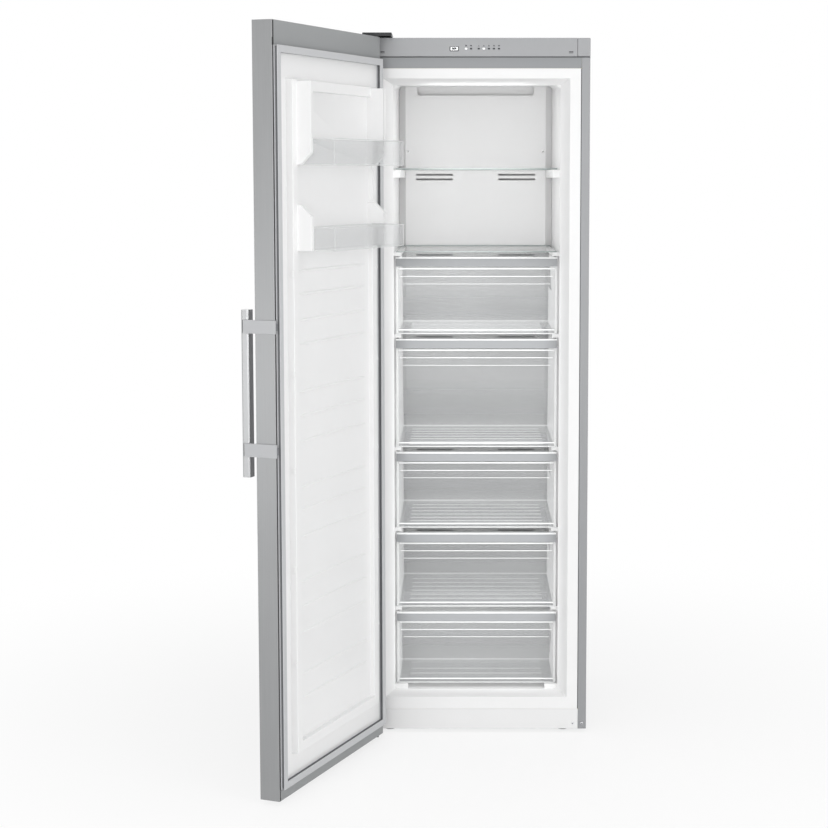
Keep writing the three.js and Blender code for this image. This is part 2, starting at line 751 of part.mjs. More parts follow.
// ---------------------------------------------------------------- cooling behind the air panel
function airPanel() {
  const wallX = linerHalf - seat;
  const back = airPanelFront + bevelDepth;
  const panel = prismZ(shapeOf([
    [-wallX, back], [-airPanelHalf, airPanelFront], [airPanelHalf, airPanelFront], [wallX, back],
    [wallX - bevelWall, back], [airPanelHalf - airPanelWall / 2, airPanelFront + airPanelWall],
    [-airPanelHalf + airPanelWall / 2, airPanelFront + airPanelWall],
    [-wallX + bevelWall, back],
  ]), stepLevel, ceilingLevel + ceilingRise).intersect(cavity(-seat));
  const floorsAbove = [...drawerBottoms.slice(2), lowerShelfBottom];
  const levels = [
    upperShelfBottom - slotPitch, upperShelfBottom - slotPitch * 2,
    ...slotDrops.map((drop, i) => floorsAbove[i] - drop),
  ];
  const slots = levels.flatMap((level) => [-1, 1].map((side) => {
    const middle = side * (slotInner + slotLength / 2);
    return box(middle - slotLength / 2, middle + slotLength / 2, airPanelFront - cut,
      airPanelFront + airPanelWall + cut, level - slotHeight / 2, level + slotHeight / 2);
  }));
  const scoopBottom = ceilingLevel + airPanelFront * ceilingSlope - scoopHeight;
  const scoop = prismY(
    roundedRectangle(-scoopHalf, scoopHalf, scoopBottom, scoopBottom + scoopHeight * 2, scoopCorner),
    airPanelFront - cut, airPanelFront + airPanelWall + cut);
  return panel.subtract(union(slots, scoop));
}
piece(cabinet, 'air_panel', finish.white, airPanel());

const chamberFront = airPanelFront + airPanelWall;
const chamberBack = linerDepth - seat;
function evaporator() {
  const front = chamberFront + fanClearance;
  const top = evaporatorBottom + evaporatorHeight;
  const fins = [];
  const pitch = (evaporatorHalf * 2 - fin) / (finCount - 1);
  for (let i = 0; i < finCount; i += 1) {
    const x = -evaporatorHalf + pitch * i;
    fins.push(box(x, x + fin, front, chamberBack, evaporatorBottom, top));
  }
  const tubes = [];
  const rise = evaporatorHeight / coilRows;
  for (let i = 0; i < coilRows; i += 1) {
    const level = evaporatorBottom + rise * (i + 0.5);
    const middle = (front + chamberBack) / 2;
    tubes.push(box(-evaporatorHalf - coilTube, evaporatorHalf + coilTube, middle - coilTube / 2,
      middle + coilTube / 2, level - coilTube / 2, level + coilTube / 2));
    if (i > 0) {
      const bend = i % 2 ? evaporatorHalf : -evaporatorHalf - coilTube;
      tubes.push(box(bend, bend + coilTube, middle - coilTube / 2, middle + coilTube / 2,
        level - rise, level));
    }
  }
  return union(fins, tubes);
}
piece(cabinet, 'evaporator', finish.aluminium, evaporator());

piece(cabinet, 'defrost_heater', finish.zinc,
  cylinderX((chamberFront + chamberBack) / 2, evaporatorBottom - seat - heaterRadius,
    -evaporatorHalf, evaporatorHalf, heaterRadius, smallSides));

const motorFront = chamberBack - motorLength;
const hubFront = motorFront - fanClearance - hubLength;
piece(cabinet, 'fan_shroud', finish.white,
  box(-shroudHalf, shroudHalf, chamberFront + seat, chamberFront + seat + shroudWall,
    fanLevel - shroudHalf, fanLevel + shroudHalf)
    .subtract(cylinderY(0, fanLevel, chamberFront - cut, chamberFront + seat + shroudWall + cut,
      fanRadius + fanClearance, wideSides)));
piece(cabinet, 'fan_motor', finish.black,
  cylinderY(0, fanLevel, motorFront, chamberBack, motorRadius)
    .add(cylinderY(0, fanLevel, hubFront + hubLength / 3, motorFront + lap, shaftRadius,
      smallSides)));
function fanRotor() {
  const hub = cylinderY(0, fanLevel, hubFront, hubFront + hubLength, hubRadius);
  const blades = [];
  for (let i = 0; i < fanBlades; i += 1) {
    const span = fanRadius - hubRadius + bladeRoot;
    const geometry = new THREE.BoxGeometry(span, bladeThickness, bladeChord);
    geometry.rotateX(Math.PI / 2 - THREE.MathUtils.degToRad(bladePitch));
    geometry.translate(hubRadius - bladeRoot + span / 2, 0, 0);
    geometry.rotateY((i / fanBlades) * Math.PI * 2);
    geometry.translate(0, hubFront + hubLength / 2, fanLevel);
    blades.push(solidOf(geometry));
  }
  return hub.add(union(blades)).subtract(cylinderY(0, fanLevel,
    hubFront + hubLength / 3 - runningGap, hubFront + hubLength + cut,
    shaftRadius + runningGap, smallSides));
}
piece(cabinet, 'fan_rotor', finish.black, fanRotor());

// ---------------------------------------------------------------- glass shelves
for (const [word, bottom] of [['upper', upperShelfBottom], ['lower', lowerShelfBottom]]) {
  piece(cabinet, `glass_shelf_${word}`, finish.glass,
    box(-shelfHalf, shelfHalf, shelfFront, shelfRear, bottom, bottom + glass));
}

// ---------------------------------------------------------------- drawers
function drawerFrontPiece(bottom, top) {
  const plateFront = drawerFront + gripDepth - gripWall;
  const plateBack = drawerFront + gripDepth;
  const full = (y0, y1, z0, z1) => box(-drawerHalf, drawerHalf, y0, y1, z0, z1);
  const sideRibs = [-1, 1].map((side) => {
    const outer = side * drawerHalf;
    const inner = side * (drawerHalf - sideRib);
    return box(Math.min(outer, inner), Math.max(outer, inner), plateFront - sideRibReach,
      plateBack, bottom, top - gripDrop);
  });
  return union(
    full(plateFront, plateBack, bottom, top),
    full(drawerFront, plateBack, top - gripWall, top),
    full(drawerFront, drawerFront + gripWall, top - gripDrop, top),
    full(plateFront - frontRib, plateBack, top - frontRibDrop, top - frontRibDrop + frontRib),
    full(plateFront - rimReach, plateBack, bottom, bottom + bottomRim),
    sideRibs,
  );
}

function basket(bottom, top, rear) {
  const front = drawerFront + gripDepth + seat;
  const wide = drawerHalf - basketInset;
  const narrow = wide - drawerTaper;
  const outer = taperZ(
    { x0: -narrow, x1: narrow, y0: front, y1: rear - drawerRearTaper }, bottom,
    { x0: -wide, x1: wide, y0: front, y1: rear }, top);
  const inner = taperZ(
    {
      x0: -narrow + drawerWall,
      x1: narrow - drawerWall,
      y0: front - cut,
      y1: rear - drawerRearTaper - drawerWall,
    }, bottom + drawerWall,
    { x0: -wide + drawerWall, x1: wide - drawerWall, y0: front - cut, y1: rear - drawerWall },
    top + cut);
  const rim = box(-wide, wide, front, rear, top - drawerWall, top).subtract(
    box(-wide + basketRim, wide - basketRim, front - cut, rear - basketRim,
      top - drawerWall - cut, top + cut));
  return outer.subtract(inner).add(rim);
}

drawerHeights.forEach((height, i) => {
  const number = drawerHeights.length - i;
  const bottom = drawerBottoms[i];
  const top = bottom + height;
  const rear = i === 0 ? lowestDrawerRear : drawerRear;
  piece(cabinet, `drawer_${number}_basket`, finish.clear, basket(bottom, top, rear));
  piece(cabinet, `drawer_${number}_front`, finish.clear, drawerFrontPiece(bottom, top));
});

// ---------------------------------------------------------------- controls
const fasciaFace = -fasciaProud;
const lensRow = (start, count) => Array.from({ length: count }, (_, i) => start + lensPitch * i);
const lensPlaces = [
  ...lensRow(firstLensX, firstLensCount), ...lensRow(secondLensX, secondLensCount),
];
function controlPanel() {
  const half = halfWidth - capWidth - seat;
  const back = fasciaFace + fasciaDepth;
  const shell = box(-half, half, fasciaFace, back, fasciaBottom, cabinetHeight).subtract(
    box(-half - cut, half + cut, fasciaFace + fasciaWall, back + cut, fasciaBottom + fasciaWall,
      cabinetHeight - fasciaWall));
  const buttonHole = box(buttonX - buttonWidth / 2 - seat, buttonX + buttonWidth / 2 + seat,
    fasciaFace - cut, fasciaFace + fasciaWall + cut, controlLevel - buttonHeight / 2 - seat,
    controlLevel + buttonHeight / 2 + seat);
  const lensHoles = lensPlaces.map((x) => box(x - lensWidth / 2 - seat, x + lensWidth / 2 + seat,
    fasciaFace - cut, fasciaFace + fasciaWall + cut, controlLevel - lensHeight / 2 - seat,
    controlLevel + lensHeight / 2 + seat));
  const boardFoot = box(-boardHalf, boardHalf, boardSetback, boardSetback + boardFootDepth,
    fasciaBottom + fasciaWall - lap, controlLevel - boardHeight / 2 - seat);
  return shell.subtract(union(buttonHole, lensHoles)).add(boardFoot);
}
piece(cabinet, 'control_panel', finish.paintGrey, controlPanel());

for (const [side, word] of [[-1, 'left'], [1, 'right']]) {
  const outer = side * halfWidth;
  const inner = side * (halfWidth - capWidth);
  const x0 = Math.min(outer, inner);
  const x1 = Math.max(outer, inner);
  piece(cabinet, `panel_cap_${word}`, finish.paintGrey,
    box(x0, x1, fasciaFace, fasciaFace + fasciaDepth, fasciaBottom, cabinetHeight).subtract(
      box(x0 + fasciaWall, x1 - fasciaWall, fasciaFace + fasciaWall, fasciaFace + fasciaDepth + cut,
        fasciaBottom + fasciaWall, cabinetHeight - fasciaWall)));
}

function powerButton() {
  const wallBack = fasciaFace + fasciaWall;
  const cap = box(buttonX - buttonWidth / 2, buttonX + buttonWidth / 2, fasciaFace - buttonProud,
    wallBack + seat + lap, controlLevel - buttonHeight / 2, controlLevel + buttonHeight / 2);
  const flange = box(buttonX - buttonWidth / 2 - buttonFlange,
    buttonX + buttonWidth / 2 + buttonFlange, wallBack + seat, wallBack + seat + buttonFlange,
    controlLevel - buttonHeight / 2 - buttonFlange, controlLevel + buttonHeight / 2 + buttonFlange);
  const stem = box(buttonX - buttonFlange, buttonX + buttonFlange, wallBack + seat,
    boardSetback - buttonFlange, controlLevel - buttonFlange, controlLevel + buttonFlange);
  return union(cap, flange, stem);
}
piece(cabinet, 'power_button', finish.zinc, powerButton());

function lightGuide() {
  const wallBack = fasciaFace + fasciaWall;
  const first = Math.min(...lensPlaces) - lensWidth;
  const last = Math.max(...lensPlaces) + lensWidth;
  const bar = box(first, last, wallBack + seat, wallBack + seat + guideDepth,
    controlLevel - guideHeight / 2, controlLevel + guideHeight / 2);
  const lenses = lensPlaces.map((x) => box(x - lensWidth / 2, x + lensWidth / 2, fasciaFace,
    wallBack + seat + lap, controlLevel - lensHeight / 2, controlLevel + lensHeight / 2));
  return bar.add(union(lenses));
}
piece(cabinet, 'light_guide', finish.clear, lightGuide());

piece(cabinet, 'control_board', finish.board,
  box(-boardHalf, boardHalf, boardSetback, boardSetback + boardThickness,
    controlLevel - boardHeight / 2, controlLevel + boardHeight / 2));

// ---------------------------------------------------------------- hinges
const plateX0 = hingeX - hingeInset + sheet + seat;
const plateX1 = plateX0 + hingePlateWidth;
piece(cabinet, 'lower_hinge', finish.zinc,
  box(plateX0, plateX1, hingeY - hingeNose, lowerPlateLap, caseBottom - seat - hingePlate,
    caseBottom - seat)
    .add(cylinderZ(hingeX, hingeY, caseBottom - seat - lap, doorBottom + bushLength - pinEndGap,
      pinRadius)));
const upperPlateBottom = cabinetHeight + seat;
piece(cabinet, 'upper_hinge', finish.zinc,
  box(plateX0 + hingeCoverWall + seat, plateX1, hingeY - hingeNose + hingeCoverWall + seat,
    upperPlateLap, upperPlateBottom, upperPlateBottom + hingePlate)
    .add(cylinderZ(hingeX, hingeY, doorTop - bushLength + pinEndGap, upperPlateBottom + lap,
      pinRadius)));
piece(cabinet, 'hinge_cover', finish.black,
  box(plateX0, plateX0 + hingeCoverWidth, hingeY - hingeNose, upperPlateLap + hingeCoverWall + seat,
    upperPlateBottom, upperPlateBottom + hingeCoverHeight)
    .subtract(box(plateX0 + hingeCoverWall, plateX0 + hingeCoverWidth - hingeCoverWall,
      hingeY - hingeNose + hingeCoverWall, upperPlateLap + seat,
      upperPlateBottom - cut, upperPlateBottom + hingePlate + seat)));

// ---------------------------------------------------------------- door
const skinInner = halfWidth - sheet;
piece(door, 'door_skin', finish.steelGrey, prismZ(shapeOf([
  [-halfWidth, doorOuter], [halfWidth, doorOuter], [halfWidth, doorInner],
  [halfWidth - skinReturn, doorInner], [halfWidth - skinReturn, doorInner - sheet],
  [skinInner, doorInner - sheet], [skinInner, doorOuter + sheet],
  [-skinInner, doorOuter + sheet], [-skinInner, doorInner - sheet],
  [-halfWidth + skinReturn, doorInner - sheet], [-halfWidth + skinReturn, doorInner],
  [-halfWidth, doorInner],
]), doorBottom, doorTop));

// the end caps fit inside the skin, and a block in each holds the hinge bush
const capHalf = skinInner - seat;
const capFront = doorOuter + sheet + seat;
const capBack = doorInner - sheet - seat;
function endCap(low, high, openLow, openHigh, boreLow, boreHigh) {
  const shell = box(-capHalf, capHalf, capFront, capBack, low, high).add(
    box(-halfWidth + skinReturn + seat, halfWidth - skinReturn - seat, capBack - lap, doorInner,
      low, high));
  const hollow = box(-capHalf + capWall, capHalf - capWall, capFront + capWall, capBack - capWall,
    openLow, openHigh);
  const block = box(-capHalf, hingeX + bushRadius + capWall, capFront,
    hingeY + bushRadius + capWall, low, high);
  const bore = cylinderZ(hingeX, hingeY, boreLow, boreHigh, bushRadius + seat);
  return shell.subtract(hollow).add(block).subtract(bore);
}
piece(door, 'door_cap_top', finish.capGrey, endCap(gasketTop + seat, doorTop,
  gasketTop - cut, doorTop - capWall, doorTop - bushLength - seat, doorTop + cut));
piece(door, 'door_cap_bottom', finish.capGrey, endCap(doorBottom, gasketBottom - seat,
  doorBottom + capWall, gasketBottom + cut, doorBottom - cut, doorBottom + bushLength + seat));

function bush(low, high) {
  return cylinderZ(hingeX, hingeY, low, high, bushRadius).subtract(
    cylinderZ(hingeX, hingeY, low - cut, high + cut, pinRadius + runningGap));
}
piece(door, 'hinge_bush_top', finish.white, bush(doorTop - bushLength, doorTop));
piece(door, 'hinge_bush_bottom', finish.white, bush(doorBottom, doorBottom + bushLength));

// raised form of the door liner, shrunk by an inset so that the foam can fill it from behind
function relief(inset) {
  const back = doorInner - linerSheet * 2;
  const half = reliefHalf - inset;
  const top = reliefTop - inset;
  const bottom = reliefBottom + inset;
  const rise = (height) => doorInner + height - inset;
  const block = taperY({ x0: -half, x1: half, z0: bottom, z1: top }, back,
    { x0: -half + linerSheet, x1: half - linerSheet, z0: bottom + linerSheet,
      z1: top - linerSheet }, rise(reliefHeight));
  const within = dikeWidth - inset * 2;
  const recess = box(-half + within, half - within, rise(panelHeight),
    rise(reliefHeight) + cut, bottom + within, top - within);
  const upperCrest = [
    [rise(wingHeight - wingSlope), upperBinBottom + inset],
    [rise(wingHeight), upperBinBottom + inset + wingSlope], [rise(wingHeight), upperWingTop - inset],
  ];
  const lowerCrest = [
    [rise(wingHeight), lowerBinBottom + inset], [rise(wingHeight), lowerWingTop - inset - wingSlope],
    [rise(wingHeight - wingSlope), lowerWingTop - inset],
  ];
  const wings = [-1, 1].flatMap((side) => [upperCrest, lowerCrest].map((crest) => {
    const outer = side * (wingHalf - inset);
    const inner = side * (wingHalf - wingWidth + inset);
    const low = crest[0][1];
    const high = crest[crest.length - 1][1];
    return prismX([[back, low], ...crest, [back, high]],
      Math.min(outer, inner), Math.max(outer, inner));
  }));
  return block.subtract(recess).add(union(wings));
}

function binLug(side, binBottom, binHeight) {
  const face = side * (wingHalf - wingWidth);
  const tip = side * (wingHalf - wingWidth - lugReach);
  const top = binBottom + binHeight - lugDrop;
  return box(Math.min(face + side * lap, tip), Math.max(face + side * lap, tip),
    doorInner + wingHeight - linerSheet - lugWidth, doorInner + wingHeight - linerSheet,
    top - lugHeight, top);
}

function doorLiner() {
  const plate = box(-halfWidth + skinReturn + seat, halfWidth - skinReturn - seat,
    doorInner - linerSheet, doorInner, gasketBottom, gasketTop);
  const lugs = [-1, 1].flatMap((side) => [
    binLug(side, upperBinBottom, upperBinHeight),
    binLug(side, lowerBinBottom, lowerBinHeight),
  ]);
  const front = box(-halfWidth, halfWidth, doorInner - linerSheet, doorInner + wingHeight * 2,
    gasketBottom, gasketTop);
  return plate.add(relief(0).intersect(front)).subtract(relief(linerSheet)).add(union(lugs));
}
piece(door, 'door_liner', finish.white, doorLiner());

const foamBack = doorInner - linerSheet - seat;
piece(door, 'door_foam', finish.foam,
  box(-capHalf, capHalf, capFront, foamBack, gasketBottom, gasketTop).add(
    relief(linerSheet + seat).subtract(
      box(-halfWidth, halfWidth, doorOuter * 2, foamBack - lap, 0, cabinetHeight))));

function doorGasket() {
  const half = halfWidth - gasketInset;
  const front = doorInner + seat;
  const ring = (inset, y0, y1) => box(-half + inset, half - inset, y0, y1,
    gasketBottom + inset, gasketTop - inset);
  return ring(0, front, doorInner + gasketHeight).subtract(
    ring(gasketWidth, front - cut, doorInner + gasketHeight + cut));
}
piece(door, 'door_gasket', finish.gasketGrey, doorGasket());

// ---------------------------------------------------------------- door bins
function bin(bottom, height) {
  const top = bottom + height;
  const back = doorInner + binBack;
  const front = doorInner + binReach;
  const shell = box(-binHalf, binHalf, back, front, bottom, top).subtract(
    box(-binHalf + binEnd, binHalf - binEnd, back + binWall, front - binWall, bottom + binWall,
      top + cut));
  const grooves = [-1, 1].map((side) => {
    const outer = side * (binHalf + cut);
    const inner = side * (wingHalf - wingWidth - lugReach - seat);
    return box(Math.min(outer, inner), Math.max(outer, inner),
      doorInner + wingHeight - linerSheet - lugWidth - seat,
      doorInner + wingHeight - linerSheet + seat, bottom - cut, top - lugDrop + seat);
  });
  return shell.subtract(union(grooves));
}
piece(door, 'door_bin_upper', finish.clear, bin(upperBinBottom, upperBinHeight));
piece(door, 'door_bin_lower', finish.clear, bin(lowerBinBottom, lowerBinHeight));

// ---------------------------------------------------------------- handle
const barY1 = doorOuter - barStandoff;
const barY0 = barY1 - barThickness;
const barBottom = barTop - barLength;
piece(door, 'handle_bar', finish.aluminium, prismZ(
  roundedRectangle(halfWidth - barWidth, halfWidth, barY0, barY1, barCorner), barBottom, barTop));

// each bracket is a flat strap on the door's edge, hooked over its inner corner
function handleBracket(low) {
  const strap = shapeOf([
    [halfWidth + seat, barY1 - bracketLap], [halfWidth + seat, doorInner + seat],
    [halfWidth - bracketWrap + seat, doorInner + seat],
    [halfWidth - bracketWrap + seat, doorInner + seat + bracketThickness],
    [halfWidth + seat + bracketThickness, doorInner + seat + bracketThickness],
    [halfWidth + seat + bracketThickness, barY1 - bracketLap],
  ]);
  return prismZ(strap, low, low + bracketHeight);
}
piece(door, 'handle_bracket_upper', finish.aluminium,
  handleBracket(barTop - upperBracketDrop - bracketHeight));
piece(door, 'handle_bracket_lower', finish.aluminium,
  handleBracket(barBottom + lowerBracketRise));

export default freezer;
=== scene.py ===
import math

import bmesh
import bpy
from mathutils import Matrix, Vector


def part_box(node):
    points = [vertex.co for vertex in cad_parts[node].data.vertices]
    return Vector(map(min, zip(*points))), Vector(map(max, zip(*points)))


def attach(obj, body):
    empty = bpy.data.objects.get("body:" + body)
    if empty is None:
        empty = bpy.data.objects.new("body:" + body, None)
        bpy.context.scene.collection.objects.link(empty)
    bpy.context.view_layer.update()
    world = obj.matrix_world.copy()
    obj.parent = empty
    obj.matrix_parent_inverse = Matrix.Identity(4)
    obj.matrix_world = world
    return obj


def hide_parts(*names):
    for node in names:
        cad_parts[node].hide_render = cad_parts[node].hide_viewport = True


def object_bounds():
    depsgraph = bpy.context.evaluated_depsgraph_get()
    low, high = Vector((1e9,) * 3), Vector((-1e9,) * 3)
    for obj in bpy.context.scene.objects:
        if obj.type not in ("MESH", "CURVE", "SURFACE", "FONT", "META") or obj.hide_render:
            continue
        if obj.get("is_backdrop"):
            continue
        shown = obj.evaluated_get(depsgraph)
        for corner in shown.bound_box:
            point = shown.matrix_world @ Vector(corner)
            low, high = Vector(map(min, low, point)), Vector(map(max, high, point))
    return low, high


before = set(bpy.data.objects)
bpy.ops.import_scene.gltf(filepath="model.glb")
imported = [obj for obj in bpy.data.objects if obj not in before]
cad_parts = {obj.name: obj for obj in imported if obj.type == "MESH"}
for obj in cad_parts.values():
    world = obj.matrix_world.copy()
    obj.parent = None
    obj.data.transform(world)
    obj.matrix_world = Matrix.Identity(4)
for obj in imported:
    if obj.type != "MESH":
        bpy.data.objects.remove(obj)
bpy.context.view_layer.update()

# ---------------------------------------------------------------- camera
# The camera stands five metres in front of the open freezer, level with its upper glass shelf.
# It looks slightly down, with a small shift.
camera_data = bpy.data.cameras.new("camera")
camera_data.sensor_width = 36
camera_data.lens = 80.21
camera_data.shift_x = -0.06
camera_data.shift_y = -0.06
camera_data.clip_end = 100
camera = bpy.data.objects.new("camera", camera_data)
camera.location = (-0.0344, -5.1782, 1.4993)
camera.rotation_euler = (math.radians(90 - 5.809), 0, 0)
bpy.context.scene.collection.objects.link(camera)
bpy.context.scene.camera = camera
bpy.context.scene.view_settings.view_transform = "Standard"


# ---------------------------------------------------------------- studio
# A matt white floor fades into the white of the studio and keeps the freezer's shadow near it.
# Large soft lamps stand in front, on the right, above and behind. Two thin ones just inside the opening fill
# the deep cavity, as the light of a bright room does.
def linear(code):
    """An sRGB hex colour as linear red, green, blue and alpha."""
    parts = [int(code[i:i + 2], 16) / 255 for i in (1, 3, 5)]
    return tuple(c / 12.92 if c <= 0.04045 else ((c + 0.055) / 1.055) ** 2.4 for c in parts) + (1.0,)


def add_node(tree, kind, settings=None, links=None):
    """Adds one shader node, sets its properties and sockets, and links outputs of other nodes to it."""
    node = tree.nodes.new(kind)
    for key, value in (settings or {}).items():
        if isinstance(key, int) or key in node.inputs:
            node.inputs[key].default_value = value
        else:
            setattr(node, key, value)
    for key, source in (links or {}).items():
        tree.links.new(source, node.inputs[key])
    return node


def bare_material(name):
    """A material with an empty node tree, and that tree."""
    made = bpy.data.materials.new(name)
    made.use_nodes = True
    made.node_tree.nodes.clear()
    return made, made.node_tree


def seen_directly(tree):
    """1 for rays from the camera, a reflection or a refraction, and 0 for light that falls on things."""
    path = add_node(tree, "ShaderNodeLightPath")
    gloss = add_node(tree, "ShaderNodeMath", {"operation": "MAXIMUM"},
                     {0: path.outputs["Is Camera Ray"], 1: path.outputs["Is Glossy Ray"]})
    return add_node(tree, "ShaderNodeMath", {"operation": "MAXIMUM"},
                    {0: gloss.outputs[0], 1: path.outputs["Is Transmission Ray"]}).outputs[0]


world = bpy.data.worlds.new("studio")
world.use_nodes = True
tree = world.node_tree
tree.nodes.clear()
strength = add_node(tree, "ShaderNodeMapRange", {"To Min": 0.56, "To Max": 1.0},
                    {"Value": seen_directly(tree)})
backdrop = add_node(tree, "ShaderNodeBackground", {"Color": linear("#ffffff")},
                    {"Strength": strength.outputs[0]})
add_node(tree, "ShaderNodeOutputWorld", links={"Surface": backdrop.outputs[0]})
bpy.context.scene.world = world

# the floor turns white between 0.3 m and 2.2 m from the freezer's middle
floor_paint, tree = bare_material("matt white floor paint")
place = add_node(tree, "ShaderNodeTexCoord")
reach = add_node(tree, "ShaderNodeVectorMath", {"operation": "LENGTH"},
                 {0: place.outputs["Object"]})
away = add_node(tree, "ShaderNodeMapRange",
                {"interpolation_type": "SMOOTHSTEP", "From Min": 0.3, "From Max": 2.2, "To Min": 0.75},
                {"Value": reach.outputs["Value"]})
fade = add_node(tree, "ShaderNodeMath", {"operation": "MULTIPLY"},
                {0: away.outputs[0], 1: seen_directly(tree)})
paint = add_node(tree, "ShaderNodeBsdfPrincipled",
                 {"Base Color": linear("#f6f6f6"), "Roughness": 0.9})
white = add_node(tree, "ShaderNodeEmission", {"Color": linear("#ffffff"), "Strength": 1.0})
both = add_node(tree, "ShaderNodeMixShader", links={
    "Fac": fade.outputs[0], 1: paint.outputs[0], 2: white.outputs[0]})
add_node(tree, "ShaderNodeOutputMaterial", links={"Surface": both.outputs[0]})

floor_mesh = bpy.data.meshes.new("floor")
shape = bmesh.new()
bmesh.ops.create_circle(shape, cap_ends=True, segments=96, radius=40)
shape.to_mesh(floor_mesh)
shape.free()
floor = bpy.data.objects.new("floor", floor_mesh)
floor_mesh.materials.append(floor_paint)
bpy.context.scene.collection.objects.link(floor)
floor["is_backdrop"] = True

# each lamp's place, what it is aimed at, its width and height, and its power
for name, place, aim, size, power in (
    ("front_lamp", (-1.5, -5.4, 1.3), (0.0, 0.1, 0.95), (3.4, 1.7), 62),
    ("left_lamp", (-4.4, -4.1, 0.5), (-0.4, -0.6, 0.9), (0.8, 1.0), 7),
    ("right_lamp", (3.2, -3.8, 1.6), (0.0, -0.2, 0.95), (2.2, 3.0), 57),
    ("top_lamp", (0.2, -1.8, 4.6), (0.0, -0.2, 0.9), (3.0, 3.0), 22),
    ("rear_lamp", (0.6, 4.6, 2.4), (0.0, 0.0, 0.95), (3.4, 3.0), 60),
    ("shelf_lamp", (0.0, -0.281, 1.515), (0.0, 0.0, 1.515), (0.28, 0.42), 0.70),
    ("drawer_lamp", (0.0, -0.281, 0.70), (0.0, 0.0, 0.70), (0.40, 1.14), 1.14),
):
    lamp = bpy.data.lights.new(name, "AREA")
    lamp.shape = "RECTANGLE"
    lamp.size, lamp.size_y = size
    lamp.energy = power
    holder = bpy.data.objects.new(name, lamp)
    holder.location = place
    holder.rotation_euler = (Vector(aim) - Vector(place)).to_track_quat("-Z", "Y").to_euler()
    holder.visible_camera = False
    holder.visible_glossy = power > 2  # the thin lamps would show as streaks in the drawers
    bpy.context.scene.collection.objects.link(holder)


# ---------------------------------------------------------------- outer case
# The sides are folded from prepainted sheet steel, silver grey with a fine upright brushing under the
# lacquer. They are clipped over the liner's edges and foamed in place.
def finish(name, code, roughness, grain, depth, mottle=0.03, **skin):
    """A material with a fine relief. grain is its pattern's size along X, Y, Z and depth its height, in mm.

    mottle is how much the colour varies, and skin holds further settings of the surface."""
    sizes = grain if isinstance(grain, tuple) else (grain, grain, grain)
    repeats = tuple(1000 / size for size in sizes)
    made, tree = bare_material(name)
    place = add_node(tree, "ShaderNodeTexCoord").outputs["Object"]
    spread = add_node(tree, "ShaderNodeMapping", {"Scale": repeats}, {"Vector": place})
    fine = add_node(tree, "ShaderNodeTexNoise", {"Scale": 1.0, "Detail": 3.0, "Roughness": 0.6},
                    {"Vector": spread.outputs[0]})
    broad = add_node(tree, "ShaderNodeTexNoise", {"Scale": 5.0, "Detail": 2.0}, {"Vector": place})
    both = add_node(tree, "ShaderNodeMix", {"data_type": "FLOAT", 0: 0.4},
                    {2: fine.outputs[0], 3: broad.outputs[0]})
    base = linear(code)
    dark, light = (tuple(min(1.0, c * k) for c in base[:3]) + (1.0,) for k in (1 - mottle, 1 + mottle))
    # the noise keeps mostly between 0.3 and 0.7, which is spread to the whole range
    spots = add_node(tree, "ShaderNodeMapRange", {"From Min": 0.3, "From Max": 0.7},
                     {"Value": both.outputs[0]})
    tone = add_node(tree, "ShaderNodeMix", {"data_type": "RGBA", 6: dark, 7: light},
                    {0: spots.outputs[0]})
    gloss = add_node(tree, "ShaderNodeMapRange", {
        "To Min": roughness * 0.88, "To Max": min(1.0, roughness * 1.12)}, {"Value": spots.outputs[0]})
    relief = add_node(tree, "ShaderNodeBump", {"Strength": 0.6, "Distance": depth / 1000},
                      {"Height": fine.outputs[0]})
    surface = add_node(tree, "ShaderNodeBsdfPrincipled", skin, {
        "Base Color": tone.outputs[2], "Roughness": gloss.outputs[0], "Normal": relief.outputs[0]})
    add_node(tree, "ShaderNodeOutputMaterial", links={"Surface": surface.outputs[0]})
    return made


def soften(part, edge):
    """Joins doubled corners and rounds the edges by that radius in metres."""
    part.modifiers.new("weld", "WELD").merge_threshold = 0.00002
    rounding = part.modifiers.new("edge radius", "BEVEL")
    rounding.width = edge
    rounding.segments = 2
    rounding.limit_method = "ANGLE"
    rounding.angle_limit = math.radians(35)
    rounding.harden_normals = True


def dress(nodes, material, edge=0.0006):
    """Gives these CAD nodes their finish and rounded edges."""
    for node in nodes:
        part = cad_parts[node]
        part.data.materials.clear()
        part.data.materials.append(material)
        soften(part, edge)


# The lacquer gives the steel a soft sheen with fine upright streaks. The brushed lines are 0.4 mm apart, and
# are drawn 2 mm apart, so that they show from across the room.
case_steel = finish("silver grey lacquered steel, brushed", "#949597", 0.42, (2, 2, 167), 0.03, 0.05,
                    Metallic=0.55, **{"Coat Weight": 0.35, "Coat Roughness": 0.3})
dress(("case_side_left", "case_side_right"), case_steel, 0.0008)

# ---------------------------------------------------------------- top cover and rear panel
# The top is one injection moulded cover in mid grey, clipped on over the case.
# The rear panel and the cover of the compressor's bay are zinc coated sheet, screwed to the case.

# Spark erosion leaves pits of about 0.1 mm in the mould, drawn 1.1 mm wide: the cover looks evenly dull.
top_plastic = finish("mid grey moulded plastic, fine texture", "#a3a4a6", 0.55, 1.1, 0.04)
dress(("top_cover",), top_plastic, 0.0016)
# The zinc crystals are 17 mm wide and lie flat, so that the sheet looks cloudy and bright.
zinc_steel = finish("zinc coated sheet steel, small spangle", "#a9acae", 0.45, 16.7, 0.01, 0.12,
                    Metallic=0.85)
dress(("rear_panel", "bay_cover"), zinc_steel, 0.0003)


